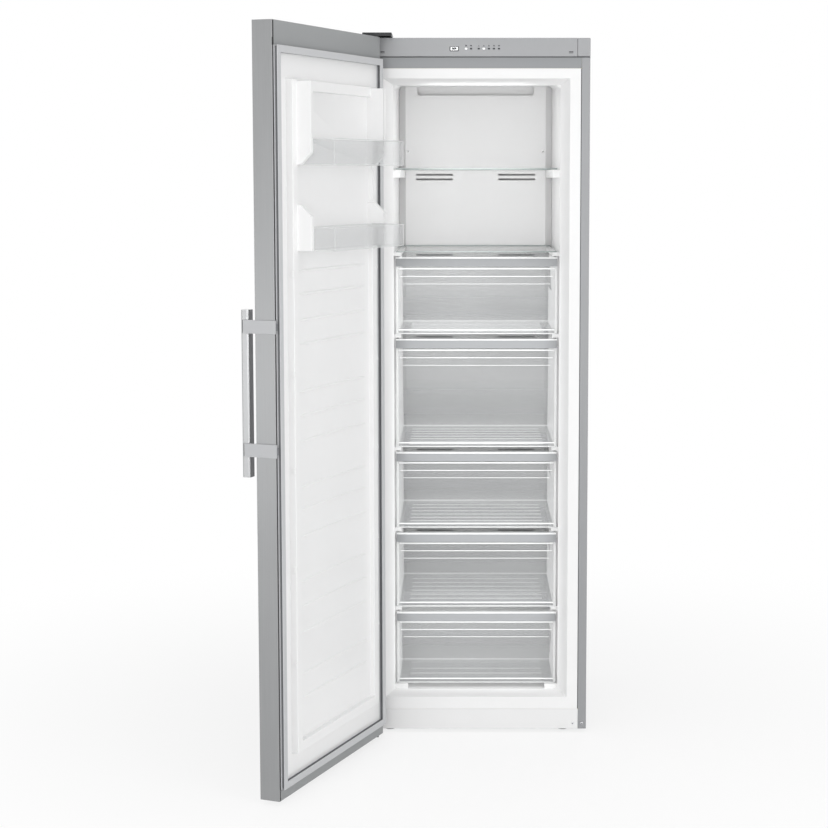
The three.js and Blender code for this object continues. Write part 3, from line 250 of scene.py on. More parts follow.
# ---------------------------------------------------------------- screws
# Zinc plated pan head screws with a cross recess hold the rear sheets and the lower front corners.
# Each head is turned and pressed, and its recess is in shadow.
def block(shape, low, high, slot=0, top=None):
    """Adds a block to the shape. top gives X and Y bounds of its upper face where they differ."""
    x0, y0, z0 = low
    x1, y1, z1 = high
    u0, u1, v0, v1 = top or (x0, x1, y0, y1)
    corners = [shape.verts.new(place) for place in (
        (x0, y0, z0), (x1, y0, z0), (x1, y1, z0), (x0, y1, z0),
        (u0, v0, z1), (u1, v0, z1), (u1, v1, z1), (u0, v1, z1))]
    for side in ((0, 3, 2, 1), (4, 5, 6, 7), (0, 1, 5, 4), (1, 2, 6, 5), (2, 3, 7, 6), (3, 0, 4, 7)):
        face = shape.faces.new([corners[i] for i in side])
        face.material_index = slot
        face.smooth = True


def fit(name, shape, materials, body, edge=0.0004, place=None, stands_for=()):
    """Makes a piece of the shape, moves it to its place and lets it ride on its body."""
    mesh = bpy.data.meshes.new(name)
    shape.to_mesh(mesh)
    shape.free()
    if place:
        mesh.transform(place)
    for material in materials:
        mesh.materials.append(material)
    made = bpy.data.objects.new(name, mesh)
    bpy.context.scene.collection.objects.link(made)
    if edge:
        soften(made, edge)
    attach(made, body)
    if stands_for:
        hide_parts(*stands_for)
    return made


# Plating leaves the turned heads smooth and bright, with a faint cloudiness.
screw_steel = finish("zinc plated screw steel", "#c9cacc", 0.3, 2.5, 0.01, 0.05, Metallic=0.9)
# The bottom of a recess gets no light and looks flat and dark.
recess_shadow = finish("dark bottom of a recess", "#2a2a2c", 0.8, 1.7, 0.02)


def screw(name, at, facing, radius=0.0038, material=screw_steel):
    """One screw head whose flat side is at this place and which faces that way."""
    height, crown = radius * 0.5, radius * 0.72
    shape = bmesh.new()
    bmesh.ops.create_cone(shape, cap_ends=True, segments=20, radius1=radius, radius2=crown, depth=height)
    for face in shape.faces:
        face.smooth = True
    top = height / 2
    arm, cut = radius * 0.5, radius * 0.11
    sunk, proud = 0.0004, 0.00005  # the dark cross stands for the recess and lies just over the head
    for x, y in ((arm, cut), (cut, arm)):
        block(shape, (-x, -y, top - sunk), (x, y, top + proud), 1)
    turn = Vector(facing).to_track_quat("Z", "Y").to_matrix().to_4x4()
    fit(name, shape, (material, recess_shadow), "cabinet", 0,
        Matrix.Translation(Vector(at) + Vector(facing) * top) @ turn)


front, rear = -0.293, 0.2917  # the front plane of the case and the outer face of its rear sheets
foot_level = 0.0232  # the height of the four screws at the front
ahead, behind = (0, -1, 0), (0, 1, 0)
for side in (-1, 1):
    screw(f"corner_screw_{side}", (side * 0.2855, front, foot_level), ahead, 0.0045)
    screw(f"lower_panel_screw_{side}", (side * 0.2612, front, foot_level), ahead, 0.0032)
    for level in (0.03, 0.245):
        screw(f"bay_cover_screw_{side}_{level}", (side * 0.275, rear, level), behind)
    for level in (0.29, 0.8, 1.3, 1.78):
        screw(f"rear_panel_screw_{side}_{level}", (side * 0.288, rear, level), behind)

# ---------------------------------------------------------------- front rail and lower panel
# A folded steel rail closes the front under the controls, in the grey of the case but without brushing.
# The strip below the liner is white lacquered sheet, held by a screw at either end.

# Lacquer from a roller is smooth and satin, with a faint orange peel of 1.4 mm.
rail_steel = finish("grey lacquered steel", "#8e9092", 0.45, 1.4, 0.01, 0.02, Metallic=0.25,
                    **{"Coat Weight": 0.2, "Coat Roughness": 0.35})
dress(("top_rail",), rail_steel, 0.0005)
# The same in white is glossier, with a peel of 3.3 mm.
white_steel = finish("white lacquered steel", "#e8e8e8", 0.35, 3.3, 0.01, 0.01,
                     **{"Coat Weight": 0.3, "Coat Roughness": 0.2})
dress(("lower_front_panel",), white_steel, 0.0004)

# ---------------------------------------------------------------- inner liner and foam
# The cavity is vacuum formed from white high impact polystyrene sheet, with soft bends.
# Rigid polyurethane foam is blown in between it and the case and holds both.

# Forming leaves the sheet glossy and slightly uneven, in waves of about 35 mm that bend its reflections.
liner_white = finish("white high impact polystyrene, vacuum formed", "#eeeeee", 0.32, 35.7, 0.06, 0.008,
                     **{"Coat Weight": 0.15, "Coat Roughness": 0.25})
dress(("inner_liner",), liner_white, 0.0025)
# The foam is dull and grainy, with pores of 0.3 mm drawn 2 mm wide.
rigid_foam = finish("pale yellow rigid foam, small pores", "#e3d6a6", 0.9, 2, 0.3, 0.08)
dress(("foam_insulation",), rigid_foam, 0.0004)

# ---------------------------------------------------------------- base, compressor and feet
# A zinc coated tray carries the compressor, whose deep drawn shell is dipped in black enamel, and its suction
# pipe. The drip tray and the mains inlet are moulded, and the feet and rollers are black nylon.
dress(("base_tray", "underbody_pan"), zinc_steel, 0.0003)
# Dipping leaves a thick glossy skin with runs about 11 mm wide.
black_enamel = finish("black dipped enamel", "#1b1c1e", 0.3, 11.1, 0.05, 0.1,
                      **{"Coat Weight": 0.5, "Coat Roughness": 0.15})
dress(("compressor",), black_enamel, 0.002)
dress(("suction_pipe",), black_enamel, 0.0003)
# Moulded against a spark eroded face, the black plastic is dull, with its pits drawn 1.3 mm wide.
black_plastic = finish("black moulded plastic, fine texture", "#232426", 0.5, 1.25, 0.04, 0.06)
dress(("drip_tray", "mains_inlet", "fan_motor"), black_plastic, 0.0006)
# Nylon rubs dull and a little grey where it rolls, in patches of 4 mm.
black_nylon = finish("black nylon, slightly worn", "#2b2c2e", 0.6, 4, 0.05, 0.15)
dress(("levelling_foot_left", "levelling_foot_right", "roller_left", "roller_right"), black_nylon, 0.001)

# ---------------------------------------------------------------- air panel, evaporator and fan
# A white moulded panel hides the cold air duct and is screwed on. Behind it are a finned aluminium evaporator
# with its heater, and a fan in a white shroud.

# The panel is satin, a little duller than the liner, with a texture too fine to see, drawn 1.1 mm wide.
panel_white = finish("white moulded plastic, satin", "#e0e0e0", 0.45, 1.1, 0.02, 0.012)
dress(("air_panel",), panel_white, 0.0008)
dress(("fan_shroud",), panel_white, 0.0006)
# Rolling leaves the aluminium bright, with upright lines drawn 3.3 mm apart.
coil_aluminium = finish("bright rolled aluminium", "#cdd0d2", 0.3, (3.3, 3.3, 50), 0.01, 0.08, Metallic=0.95)
dress(("evaporator", "defrost_heater"), coil_aluminium, 0.0003)
dress(("fan_rotor",), black_plastic, 0.0003)
# The heads of the panel's screws are sprayed white and almost vanish on it.
screw_white = finish("white painted screw", "#f4f4f4", 0.35, 2.5, 0.01, 0.01)
panel_face = 0.1869
for side in (-1, 1):
    screw(f"air_panel_screw_{side}", (side * 0.1945, panel_face, 1.5718), ahead, 0.0042, screw_white)
# A white baffle stands behind the air inlet at the top, so that the duct is not seen through it.
baffle_low, baffle_high = (-0.171, 0.2010, 1.722), (0.171, 0.2030, 1.7585)
shape = bmesh.new()
block(shape, baffle_low, baffle_high)
fit("inlet_baffle", shape, (panel_white,), "cabinet", 0.0004)


# ---------------------------------------------------------------- glass shelves
# Each shelf is 4 mm toughened float glass with ground and polished edges, and rests on ledges of the liner.
# Seen flat it is almost invisible. Along its edges the light has a long way through the glass, which makes
# them darker and green grey.
def clear(name, code, alpha, roughness, swell, depth, ior, rim=None, **skin):
    """A clear material that hides alpha of what is behind it, and rim of it where it is seen at a slant.

    swell is the size of its waves and depth their height, in mm, and skin holds further settings."""
    made, tree = bare_material(name)
    place = add_node(tree, "ShaderNodeTexCoord").outputs["Object"]
    waves = add_node(tree, "ShaderNodeTexNoise", {"Scale": 1000 / swell, "Detail": 2.0}, {"Vector": place})
    gloss = add_node(tree, "ShaderNodeMapRange", {
        "From Min": 0.3, "From Max": 0.7, "To Min": roughness * 0.8, "To Max": roughness * 1.2},
        {"Value": waves.outputs[0]})
    relief = add_node(tree, "ShaderNodeBump", {"Strength": 0.4, "Distance": depth / 1000},
                      {"Height": waves.outputs[0]})
    links = {"Roughness": gloss.outputs[0], "Normal": relief.outputs[0]}
    if rim:
        slant = add_node(tree, "ShaderNodeLayerWeight", {"Blend": 0.5})
        links["Alpha"] = add_node(tree, "ShaderNodeMapRange", {
            "From Min": 0.45, "From Max": 0.95, "To Min": alpha, "To Max": rim},
            {"Value": slant.outputs["Facing"]}).outputs[0]
    surface = add_node(tree, "ShaderNodeBsdfPrincipled", {
        "Base Color": linear(code), "Alpha": alpha, "IOR": ior, **skin}, links)
    add_node(tree, "ShaderNodeOutputMaterial", links={"Surface": surface.outputs[0]})
    return made


# Float glass is flat but for a swell of 250 mm that moves its reflections. Its ground edges have facets of
# 8 mm.
glass_face = clear("clear toughened glass", "#eef2f1", 0.06, 0.03, 250, 0.2, 1.52)
glass_edge = clear("polished edge of the glass", "#8e9795", 0.85, 0.12, 8.3, 0.1, 1.52)
for word in ("upper", "lower"):
    low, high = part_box(f"glass_shelf_{word}")
    shape = bmesh.new()
    block(shape, low, high)
    shape.normal_update()
    for face in shape.faces:
        if abs(face.normal.z) < 0.5:
            face.material_index = 1
    fit(f"shelf_glass_{word}", shape, (glass_face, glass_edge), f"{word}_shelf", 0.0006,
        stands_for=(f"glass_shelf_{word}",))

# ---------------------------------------------------------------- drawers
# Baskets and fronts are injection moulded in clear crystal polystyrene, and the fronts are clipped on. The
# hanging grip lip is frosted in the mould and painted mid grey as shade. Ribs and rims are drawn whiter as
# painted highlights, and the baskets' sides have a painted glow, where light leaves the plastic.

# The flow into the mould leaves waves of 17 to 33 mm on the clear walls, and the frosting is finer than it
# is drawn, 1.7 mm wide.
crystal = clear("clear crystal polystyrene", "#eef0f1", 0.12, 0.08, 33.3, 0.1, 1.59, 0.4)
crystal_side_glow = clear("clear crystal polystyrene of the sides, painted glow", "#fbfbfb", 0.12, 0.12, 33.3, 0.1, 1.59, 0.9,
                     # a painted glow, for light led along inside the plastic
                     **{"Emission Color": linear("#ffffff"), "Emission Strength": 0.24})
# The edges and ribs are drawn whiter and less clear, as painted highlights.
crystal_edge_highlight = clear("edge of clear crystal polystyrene, painted highlight", "#fbfcfc", 0.82, 0.15, 16.7, 0.1, 1.59)
crystal_rib_highlight = clear("rib of clear crystal polystyrene, painted highlight", "#eff0f0", 0.55, 0.15, 16.7, 0.1, 1.59, 0.8)
# The frosted lip is painted mid grey, as shade from the hollow behind it.
crystal_frost_shaded = clear("frosted crystal polystyrene, painted shade", "#929496", 0.9, 0.42, 1.7, 0.04, 1.59)
wall, thin = 0.003, 0.0025  # thickness of the fronts and of the baskets
gap = 0.0001  # forms of one moulding that meet are drawn this far apart
grip_drop = 0.024
flange_width, flange_depth = 0.0065, 0.007  # the bright upright edges of a front
ribs = (  # from the top edge down to its top and its bottom, in from the sides, and how far it stands out
    (0.0500, 0.0520, 0.0105, 0.0020), (0.0708, 0.0722, 0.0180, 0.0012), (0.0285, 0.0325, 0.0067, 0.0010))
low_rib = (0.0095, 0.0130, 0.0067, 0.0025)  # the same from the lower edge up to its bottom and its top
sill_height, sill_depth = 0.003, 0.004  # the bright lower edge of a front
rim, lean, rear_lean = 0.007, 0.003, 0.006  # a basket's rim, and how much narrower and shorter its foot is
bend_depth, bend_height = 0.004, 0.006  # where a basket's floor meets its rear wall
ridge_step, ridge_width, ridge_height, ridge_inset, ridge_free = 0.05, 0.0025, 0.0012, 0.03, 0.04
for number in range(1, 6):
    low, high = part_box(f"drawer_{number}_front")
    x0, x1, z0, z1 = low[0], high[0], low[2], high[2]
    face = high[1] - wall
    joint = face - gap
    shape = bmesh.new()  # its slots are 0 clear, 1 edge, 2 frosted and 3 rib
    block(shape, (x0, face, z0), (x1, high[1], z1 - wall))
    block(shape, (x0, low[1], z1 - grip_drop), (x1, low[1] + wall, z1 - wall), 2)
    block(shape, (x0, low[1], z1 - wall + gap), (x1, high[1], z1), 1)
    for upper, lower, inset, proud in ribs:
        block(shape, (x0 + inset, face - proud, z1 - lower), (x1 - inset, face, z1 - upper), 1)
    block(shape, (x0, face - sill_depth, z0), (x1, joint, z0 + sill_height), 3)
    lower, upper, inset, proud = low_rib
    block(shape, (x0 + inset, face - proud, z0 + lower), (x1 - inset, joint, z0 + upper), 1)
    for side in (-1, 1):
        outer, inner = side * x1, side * (x1 - flange_width)
        block(shape, (min(outer, inner), face - flange_depth, z0 + sill_height + gap),
              (max(outer, inner), joint, z1 - grip_drop), 3)
    fit(f"front_of_drawer_{number}", shape, (crystal, crystal_edge_highlight, crystal_frost_shaded, crystal_rib_highlight),
        f"drawer_{number}", 0.0005, stands_for=(f"drawer_{number}_front",))

    low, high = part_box(f"drawer_{number}_basket")
    x1, y0, y1, z0, z1 = high[0], low[1], high[1], low[2], high[2]
    narrow, back = x1 - lean, y1 - rear_lean
    shape = bmesh.new()  # its slots are 0 clear, 1 edge and 2 side
    for side in (-1, 1):
        foot, head, edge = [sorted((side * a, side * b)) for a, b in (
            (narrow, narrow - thin), (x1, x1 - thin), (x1, x1 - rim))]
        block(shape, (foot[0], y0, z0 + thin), (foot[1], back, z1 - thin), 2, (*head, y0, y1))
        block(shape, (edge[0], y0, z1 - thin), (edge[1], y1, z1), 1)
        block(shape, (foot[0], y0, z0 + gap), (foot[1], back, z0 + thin), 1)
    block(shape, (-narrow + thin, back - thin, z0 + thin), (narrow - thin, back, z1 - thin),
          0, (-x1 + thin, x1 - thin, y1 - thin, y1))
    block(shape, (-x1 + rim, y1 - rim, z1 - thin), (x1 - rim, y1, z1), 1)
    block(shape, (-narrow + thin, y0, z0), (narrow - thin, back, z0 + thin))
    block(shape, (-narrow + thin, back - bend_depth, z0 + thin),
          (narrow - thin, back - thin, z0 + bend_height), 1)
    for i in range(int((back - y0 - ridge_free) / ridge_step)):
        y = y0 + ridge_inset + ridge_step * i
        block(shape, (-narrow + ridge_inset, y, z0 + thin),
              (narrow - ridge_inset, y + ridge_width, z0 + thin + ridge_height), 1)
    fit(f"basket_of_drawer_{number}", shape, (crystal, crystal_edge_highlight, crystal_side_glow), f"drawer_{number}",
        0.0003, stands_for=(f"drawer_{number}_basket",))

# ---------------------------------------------------------------- controls
# The fascia and its end caps are moulded in silver grey plastic and clipped over the rail. A chromed push
# button and clear light guides sit in it, and a green circuit board is clipped in behind.

# A little metal powder gives the plastic a satin sheen, with a grain too fine to see, drawn 1 mm wide.
fascia = finish("silver grey moulded plastic, satin", "#a2a3a5", 0.42, 1, 0.02, 0.015, Metallic=0.12)
dress(("control_panel",), fascia, 0.001)
dress(("panel_cap_left", "panel_cap_right"), fascia, 0.0025)
# Chrome is plated on a polished moulding and mirrors the room, bent by swells of 10 mm.
chrome = finish("chromed plastic", "#d8d9da", 0.12, 10, 0.01, 0.02, Metallic=1.0)
dress(("power_button",), chrome, 0.0008)
# Acrylic looks milky where light is led through it.
lens = clear("clear acrylic", "#f2f3f0", 0.8, 0.1, 12.5, 0.1, 1.49)
dress(("light_guide",), lens, 0.0002)
# Solder resist is glossy over tracks that stand out 0.05 mm, drawn 4 mm apart.
board_green = finish("green solder resist on a circuit board", "#2c6238", 0.35, 4, 0.05, 0.2)
dress(("control_board",), board_green, 0.0002)

# ---------------------------------------------------------------- signs and lenses
# The signs are screen printed: a drop, a star and groups of bars over the lenses. Two lenses are lit and the
# others are smoked, and the button has a black window with a ring and a bar on it.

# Ink is matt and flat, smoked acrylic dark and glossy, and a lit lens glows evenly. All are smooth, with a
# grain of 1 to 3 mm that hardly shows.
ink = finish("dark grey screen print", "#45474a", 0.6, 1.1, 0.01, 0.05)
ink_white = finish("white screen print", "#f3f3f3", 0.6, 1.1, 0.01, 0.02)
smoked = finish("smoked acrylic", "#3d3f42", 0.2, 3.3, 0.01, 0.05)
lit = finish("clear acrylic lens, lit from behind", "#fafafa", 0.3, 3.3, 0.01, 0.01,
             **{"Emission Color": linear("#ffffff"), "Emission Strength": 0.5})
fascia_face, sign_level, lens_level = -0.2990, 1.8398, 1.8320
lens_step = 0.0132
lens_places = [-0.0283 + lens_step * i for i in range(2)] + [0.005 + lens_step * i for i in range(5)]
button_place, button_face = (-0.059, 1.832), -0.2996


def bars(shape, x, z, marks, y=fascia_face):
    """Adds flat marks to the shape. Each is its centre from (x, z), its half width and half height, in mm."""
    sunk, proud = 0.0001, 0.00008
    for dx, dz, half_x, half_z in marks:
        block(shape, (x + (dx - half_x) / 1000, y - proud, z + (dz - half_z) / 1000),
              (x + (dx + half_x) / 1000, y + sunk, z + (dz + half_z) / 1000))


signs = bmesh.new()
drop = ((0, -0.8, 2.2, 0.9), (0, 0.8, 1.4, 0.7), (0, 2.2, 0.7, 0.7))
star = ((0, 0, 2.4, 0.6), (0, 0, 0.6, 1.8), (0, 0, 1.5, 1.2))
bars(signs, lens_places[0], sign_level, drop)
bars(signs, lens_places[1], sign_level, star)
bar_step, underline = 1.0, (0, -1.4, 2.4, 0.4)
for i in range(5):
    group = [((j - i / 2) * bar_step, 0, 0.35, 1.5) for j in range(i + 1)]
    bars(signs, lens_places[2 + i], sign_level, group + [underline])
fit("printed_signs", signs, (ink,), "cabinet", 0)
for word, material, chosen in (("lit", lit, (0, 3)), ("smoked", smoked, (1, 2, 4, 5, 6))):
    shape = bmesh.new()
    for i in chosen:
        bars(shape, lens_places[i], lens_level, ((0, 0, 2.9, 1.9),), fascia_face - 0.0002)
    fit(f"lens_faces_{word}", shape, (material,), "cabinet", 0.0002)
window = bmesh.new()
bars(window, *button_place, ((0, 0.2, 5.6, 2.7),), button_face)
fit("button_window", window, (smoked,), "button", 0)
mark = bmesh.new()
dots, ring_radius, ring_lift, stroke = 20, 1.2, 0.2, 0.14  # the ring is open at the top, where the bar stands
for i in range(2, dots - 1):
    angle = math.pi / 2 + 2 * math.pi * i / dots
    across, up = ring_radius * math.cos(angle), ring_lift + ring_radius * math.sin(angle)
    bars(mark, *button_place, ((across, up, stroke, stroke),), button_face - 0.0001)
bars(mark, *button_place, ((0, ring_radius, stroke, 0.8),), button_face - 0.0001)
fit("button_sign", mark, (ink_white,), "button", 0)
# A thin dark frame round the button is painted shade, for the shadow in the gap round it.
surround = bmesh.new()
bars(surround, *button_place, (
    (0, -5.6, 11.2, 1.0), (-11.2, 0, 0.9, 4.9), (11.2, 0, 0.9, 4.9), (0, 5.2, 11.2, 0.5)))
fit("button_gap_shade", surround, (recess_shadow,), "cabinet", 0)

# ---------------------------------------------------------------- front seams and vents
# Strips of painted shade stand for the shadow in the gap under the fascia, and in the seams that run down
# between the liner's flange and the sides. Two narrow vents near the fascia's ends are flat marks of painted
# shade.

# The painted shade is dull, with a grain drawn 1.4 mm wide.
gap_shade_grey = finish("dark grey painted shade of the front gaps", "#6a6c6e", 0.8, 1.4, 0.03, 0.06)
gap_shade_low, gap_shade_high = (-0.2970, -0.2937, 1.8094), (0.2970, -0.2928, 1.8118)
seam_outer, seam_inner = 0.2751, 0.2733
seam_front, seam_back = -0.2929, -0.2912
seam_foot, seam_head = 0.0640, 1.7800
seams = bmesh.new()
block(seams, gap_shade_low, gap_shade_high)
for side in (-1, 1):
    outer, inner = side * seam_outer, side * seam_inner
    block(seams, (min(outer, inner), seam_front, seam_foot), (max(outer, inner), seam_back, seam_head))
fit("front_gap_shades", seams, (gap_shade_grey,), "cabinet", 0)
vent_place, vent_level, vent_row = 0.2465, 1.8228, 0.0016
for side in (-1, 1):
    shape = bmesh.new()
    for row in (-1, 1):
        bars(shape, side * vent_place, vent_level + row * vent_row, ((0, 0, 5.5, 0.8),))
    fit(f"fascia_vent_{side}", shape, (recess_shadow,), "cabinet", 0)

# ---------------------------------------------------------------- hinges
# Two pressed steel plates, painted black, carry a pin each. The upper one is under a black plastic cover, and
# the pins turn in dark acetal bushes in the door's end caps.

# Powder coat is dull, with a peel of 2 mm. Acetal is smooth and a little waxy.
black_paint = finish("black powder coat", "#262729", 0.5, 2, 0.04, 0.06)
dress(("upper_hinge", "lower_hinge"), black_paint, 0.0006)
dress(("hinge_cover",), black_plastic, 0.0012)
dark_acetal = finish("dark acetal", "#3a3b3d", 0.4, 3.3, 0.01, 0.04)
dress(("hinge_bush_top", "hinge_bush_bottom"), dark_acetal, 0.0006)

# ---------------------------------------------------------------- door shell
# The outer skin is stainless steel with a fine vertical brushing and a clear anti-fingerprint coat, folded
# round the edges. Grey moulded caps close it above and below, and foam fills it.

# The brushing stretches highlights sideways. Its lines are 0.4 mm apart and are drawn 2 mm apart.
door_steel = finish("stainless steel, brushed, clear coated", "#979899", 0.34, (2, 2, 167), 0.03, 0.05,
                    Metallic=0.8, **{"Coat Weight": 0.2, "Coat Roughness": 0.25})
dress(("door_skin",), door_steel, 0.0008)
# The caps are evenly dull, with pits drawn 1.1 mm wide.
cap_grey = finish("grey moulded plastic, fine texture", "#969899", 0.5, 1.1, 0.03, 0.02)
dress(("door_cap_top", "door_cap_bottom"), cap_grey, 0.0012)
dress(("door_foam",), rigid_foam, 0.0004)

# ---------------------------------------------------------------- door liner
# The inside of the door is vacuum formed from the same white sheet and foamed in place. Shallow ribs are
# pressed across its lower part in groups, and small nubs stand on its raised edge.

# It is as glossy and uneven as the liner of the cavity, in a slightly whiter sheet.
door_white = finish("white high impact polystyrene of the door", "#f1f1f1", 0.34, 35.7, 0.06, 0.008,
                    **{"Coat Weight": 0.15, "Coat Roughness": 0.25})
dress(("door_liner",), door_white, 0.0022)
# the door's shapes are drawn closed, and then swung open round the hinges as in the photograph
hinge = Vector((-0.288, -0.341, 0))
door_swing = (Matrix.Translation(hinge) @ Matrix.Rotation(math.radians(-112), 4, "Z")
              @ Matrix.Translation(-hinge))
door_face = -0.305  # the door's inner face when it is closed
rib_levels = (1.276, 1.221, 1.159, 1.101, 0.987, 0.929, 0.867, 0.755, 0.700, 0.635, 0.525, 0.463, 0.399,
              0.296, 0.238)
rib_end, rib_fade = 0.19, 0.03  # half of a rib's length, and how long it takes to rise at either end
rib_places = ((-rib_end, 0.1), (rib_fade - rib_end, 1.0), (rib_end - rib_fade, 1.0), (rib_end, 0.1))
rib_section = ((0, -1.0), (1, -0.6), (1, 0.3), (0, 1.2))  # shares of its height and its width, going up
root, crest = door_face + 0.0055, door_face + 0.0094
narrowest, swell = 0.0005, 0.0035  # about half of a rib's width is narrowest, plus swell times its size
shape = bmesh.new()
for level in rib_levels:
    rings = []
    for x, size in rib_places:
        width, height = narrowest + swell * size, (crest - root) * size
        rings.append([shape.verts.new((x, root + height * out, level + width * up))
                      for out, up in rib_section])
    for here, ahead in zip(rings, rings[1:]):
        for i in range(4):
            shape.faces.new((here[i], here[(i + 1) % 4], ahead[(i + 1) % 4], ahead[i]))
    shape.faces.new(rings[0])
    shape.faces.new(rings[-1])
for face in shape.faces:
    face.smooth = True
bmesh.ops.recalc_face_normals(shape, faces=shape.faces)
fit("door_liner_ribs", shape, (door_white,), "door", 0.0004, door_swing)
nub_levels, nub_place, nub_height = (1.271, 1.034, 0.803, 0.563, 0.333), 0.2325, 0.014
foot_half, foot_near, foot_far = 0.004, door_face + 0.010, door_face + 0.0195
head_half, head_near, head_far = 0.0025, door_face + 0.0115, door_face + 0.018
shape = bmesh.new()
for level in nub_levels:
    for side in (-1, 1):
        x = side * nub_place
        block(shape, (x - foot_half, foot_near, level - nub_height / 2),
              (x + foot_half, foot_far, level + nub_height / 2),
              0, (x - head_half, x + head_half, head_near, head_far))
fit("door_liner_nubs", shape, (door_white,), "door", 0.0012, door_swing)

# ---------------------------------------------------------------- door gasket
# A soft vinyl profile is pushed into the liner's edge all the way round. It has a base, a narrow bellows and
# a flat head with a magnetic strip inside, and is mitred and welded at the corners.

# Extruded vinyl is matt with a faint bloom, and the bellows are painted darker grey as shade. Its grain is
# drawn
# 2.5 mm wide.
soft_vinyl = finish("light grey soft vinyl", "#c3c4c6", 0.6, 2.5, 0.05, 0.02,
                    **{"Sheen Weight": 0.15, "Sheen Roughness": 0.5})
bellows_shade_vinyl = finish("grey soft vinyl of the bellows, painted shade", "#6c6d70", 0.65, 2.5, 0.05, 0.03)
gasket_profile = (  # distance in from the outer edge, height above the door's inner face, in mm
    (0.4, 0.3), (0.0, 1.2), (0.4, 2.4), (2.6, 2.9), (3.0, 5.0), (2.6, 7.2), (5.2, 7.7), (5.2, 8.5),
    (0.4, 8.9), (0.0, 9.6), (0.0, 10.8), (0.6, 11.4), (16.4, 11.4), (17.0, 10.8), (17.0, 9.6), (16.6, 8.9),
    (12.0, 8.5), (12.0, 7.7), (14.4, 7.2), (14.0, 5.0), (14.4, 2.9), (16.6, 2.4), (17.0, 1.2), (16.6, 0.3))
# the bellows' faces take the darker vinyl, which is painted shade
bellows = (3, 4, 5, 6, 7, 15, 16, 17, 18, 19, 20)  # the sides of the profile between the base and the head
half, lowest, highest = 0.292, 0.040, 1.8015  # the gasket's outer edge
shape = bmesh.new()
rings = []
for inset, height in gasket_profile:
    x, y = half - inset / 1000, door_face + height / 1000
    z0, z1 = lowest + inset / 1000, highest - inset / 1000
    rings.append([shape.verts.new(place) for place in ((-x, y, z0), (x, y, z0), (x, y, z1), (-x, y, z1))])
for i, ring in enumerate(rings):
    ahead = rings[(i + 1) % len(rings)]
    for j in range(4):
        face = shape.faces.new((ring[j], ring[(j + 1) % 4], ahead[(j + 1) % 4], ahead[j]))
        face.material_index = int(i in bellows)
bmesh.ops.recalc_face_normals(shape, faces=shape.faces)
fit("gasket_profile", shape, (soft_vinyl, bellows_shade_vinyl), "door", 0.0004, door_swing,
    ("door_gasket",))

# ---------------------------------------------------------------- groove at the door's edge
# A strip of painted shade runs all the way up beside the gasket, in the groove that the skin's fold and the
# liner's edge leave. A small dark patch of the same painted shade lies beside the upper cap.
under, over = door_face - 0.0004, door_face + 0.0004
groove_foot, groove_head, groove_edge = 0.013, 1.857, 0.2948
cap_shade_low, cap_shade_high = (0.2925, under, 1.800), (0.2974, door_face + 0.0012, 1.818)
shape = bmesh.new()
block(shape, (0.2921, under, groove_foot), (groove_edge, over, highest))
block(shape, (0.2900, under, highest + gap), (groove_edge, over, groove_head))
block(shape, cap_shade_low, cap_shade_high)
fit("edge_groove_shade", shape, (recess_shadow,), "door", 0.0001, door_swing)
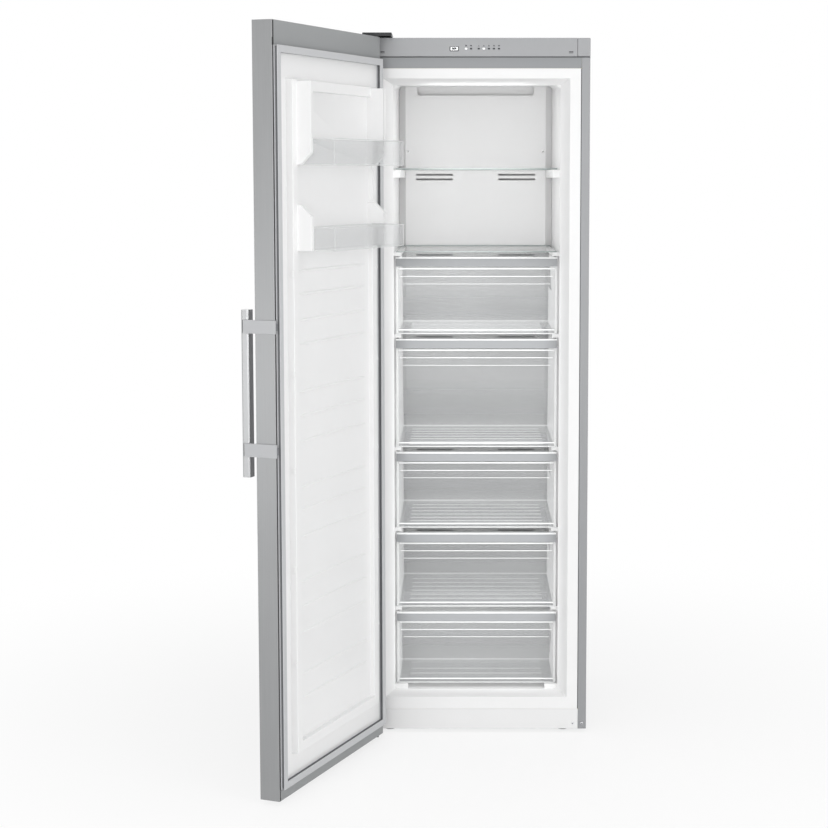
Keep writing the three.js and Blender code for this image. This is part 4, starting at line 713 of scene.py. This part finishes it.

# ---------------------------------------------------------------- door bins
# The bins are moulded in the same clear polystyrene as the drawers, and hang on lugs of the door liner.
# Strips of painted highlight lie along their upper and lower edges and their front corners, where they catch
# the light.

# Their walls have the drawers' waves of 33 mm and are a little thinner, so that they hide less.
bin_plastic = clear("clear crystal polystyrene of the bins", "#eceeef", 0.09, 0.08, 33.3, 0.1, 1.59, 0.35)
dress(("door_bin_upper", "door_bin_lower"), bin_plastic, 0.0008)
half, back, front = 0.1985, door_face + 0.020, door_face + 0.109
# each bead is a strip of painted highlight
bead, strip, side_strip = 0.0016, 0.0026, 0.005  # a bright bead's height, and its widths along front and side
corner_width, corner_depth = 0.0026, 0.0014
for word in ("upper", "lower"):
    low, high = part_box(f"door_bin_{word}")
    z0, z1 = low[2], high[2]
    shape = bmesh.new()
    for level in (z1, z0 + bead):
        block(shape, (-half, front - strip, level - bead), (half, front + gap, level))
        block(shape, (-half, back - gap, level - bead), (half, back + strip, level))
        for side in (-1, 1):
            outer, inner = side * (half + gap), side * (half - side_strip)
            block(shape, (min(outer, inner), back + strip + gap, level - bead),
                  (max(outer, inner), front - strip - gap, level))
    for side in (-1, 1):
        x = side * (half + gap - corner_width / 2)
        block(shape, (x - corner_width / 2, front - corner_depth, z0 + bead + gap),
              (x + corner_width / 2, front + gap, z1 - bead - gap))
    fit(f"bin_edge_highlights_{word}", shape, (crystal_rib_highlight,), f"{word}_bin", 0.0003, door_swing)

# ---------------------------------------------------------------- handle
# The bar is extruded aluminium, brushed along its length and anodised. Two painted aluminium straps run from
# it round the door's edge, with a dark strip of painted shadow at each strap's end, and a small ridged clip
# locks it on the inner side.

# Anodising keeps the brushing satin and grey, with its lines drawn 2 mm apart. The straps' paint is smooth.
bar_aluminium = finish("satin anodised aluminium, brushed", "#b0b1b2", 0.36, (2, 2, 200), 0.03, 0.05,
                       Metallic=0.95)
dress(("handle_bar",), bar_aluminium, 0.0006)
strap_paint = finish("light grey painted aluminium", "#b3b4b6", 0.4, 1.4, 0.01, 0.02, Metallic=0.3)
dress(("handle_bracket_upper", "handle_bracket_lower"), strap_paint, 0.0008)
# The painted shadow is black and dull, and moulded acetal grey and slightly waxy.
strap_shadow_black = finish("black painted shadow at a strap's end", "#303133", 0.8, 2, 0.04, 0.08)
clip_grey = finish("grey acetal clip", "#85878a", 0.5, 2.5, 0.02, 0.05)
clip_left, clip_right, clip_inset = 0.2937, 0.2993, 0.007
clip_foot, clip_top, tooth_top = door_face + 0.0035, door_face + 0.0043, door_face + 0.0052
first_tooth, tooth_step, tooth_width, tooth_inset = 0.0085, 0.0034, 0.0016, 0.0005
strap_shadow_left, strap_shadow_right, strap_shadow_foot, strap_shadow_head, strap_shadow_inset = 0.29755, 0.2981, -0.3908, -0.3884, 0.0005
for word in ("upper", "lower"):
    low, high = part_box(f"handle_bracket_{word}")
    shape = bmesh.new()
    block(shape, (clip_left, clip_foot, low[2] + clip_inset), (clip_right, clip_top, high[2] - clip_inset))
    for i in range(5):
        z = low[2] + first_tooth + tooth_step * i
        block(shape, (clip_left + tooth_inset, clip_top, z),
              (clip_right - tooth_inset, tooth_top, z + tooth_width))
    fit(f"bracket_clip_{word}", shape, (clip_grey,), "door", 0.0003, door_swing)
    shape = bmesh.new()
    block(shape, (strap_shadow_left, strap_shadow_foot, low[2] + strap_shadow_inset), (strap_shadow_right, strap_shadow_head, high[2] - strap_shadow_inset))
    fit(f"strap_end_shadow_{word}", shape, (strap_shadow_black,), "door", 0.0001, door_swing)

low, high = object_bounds()
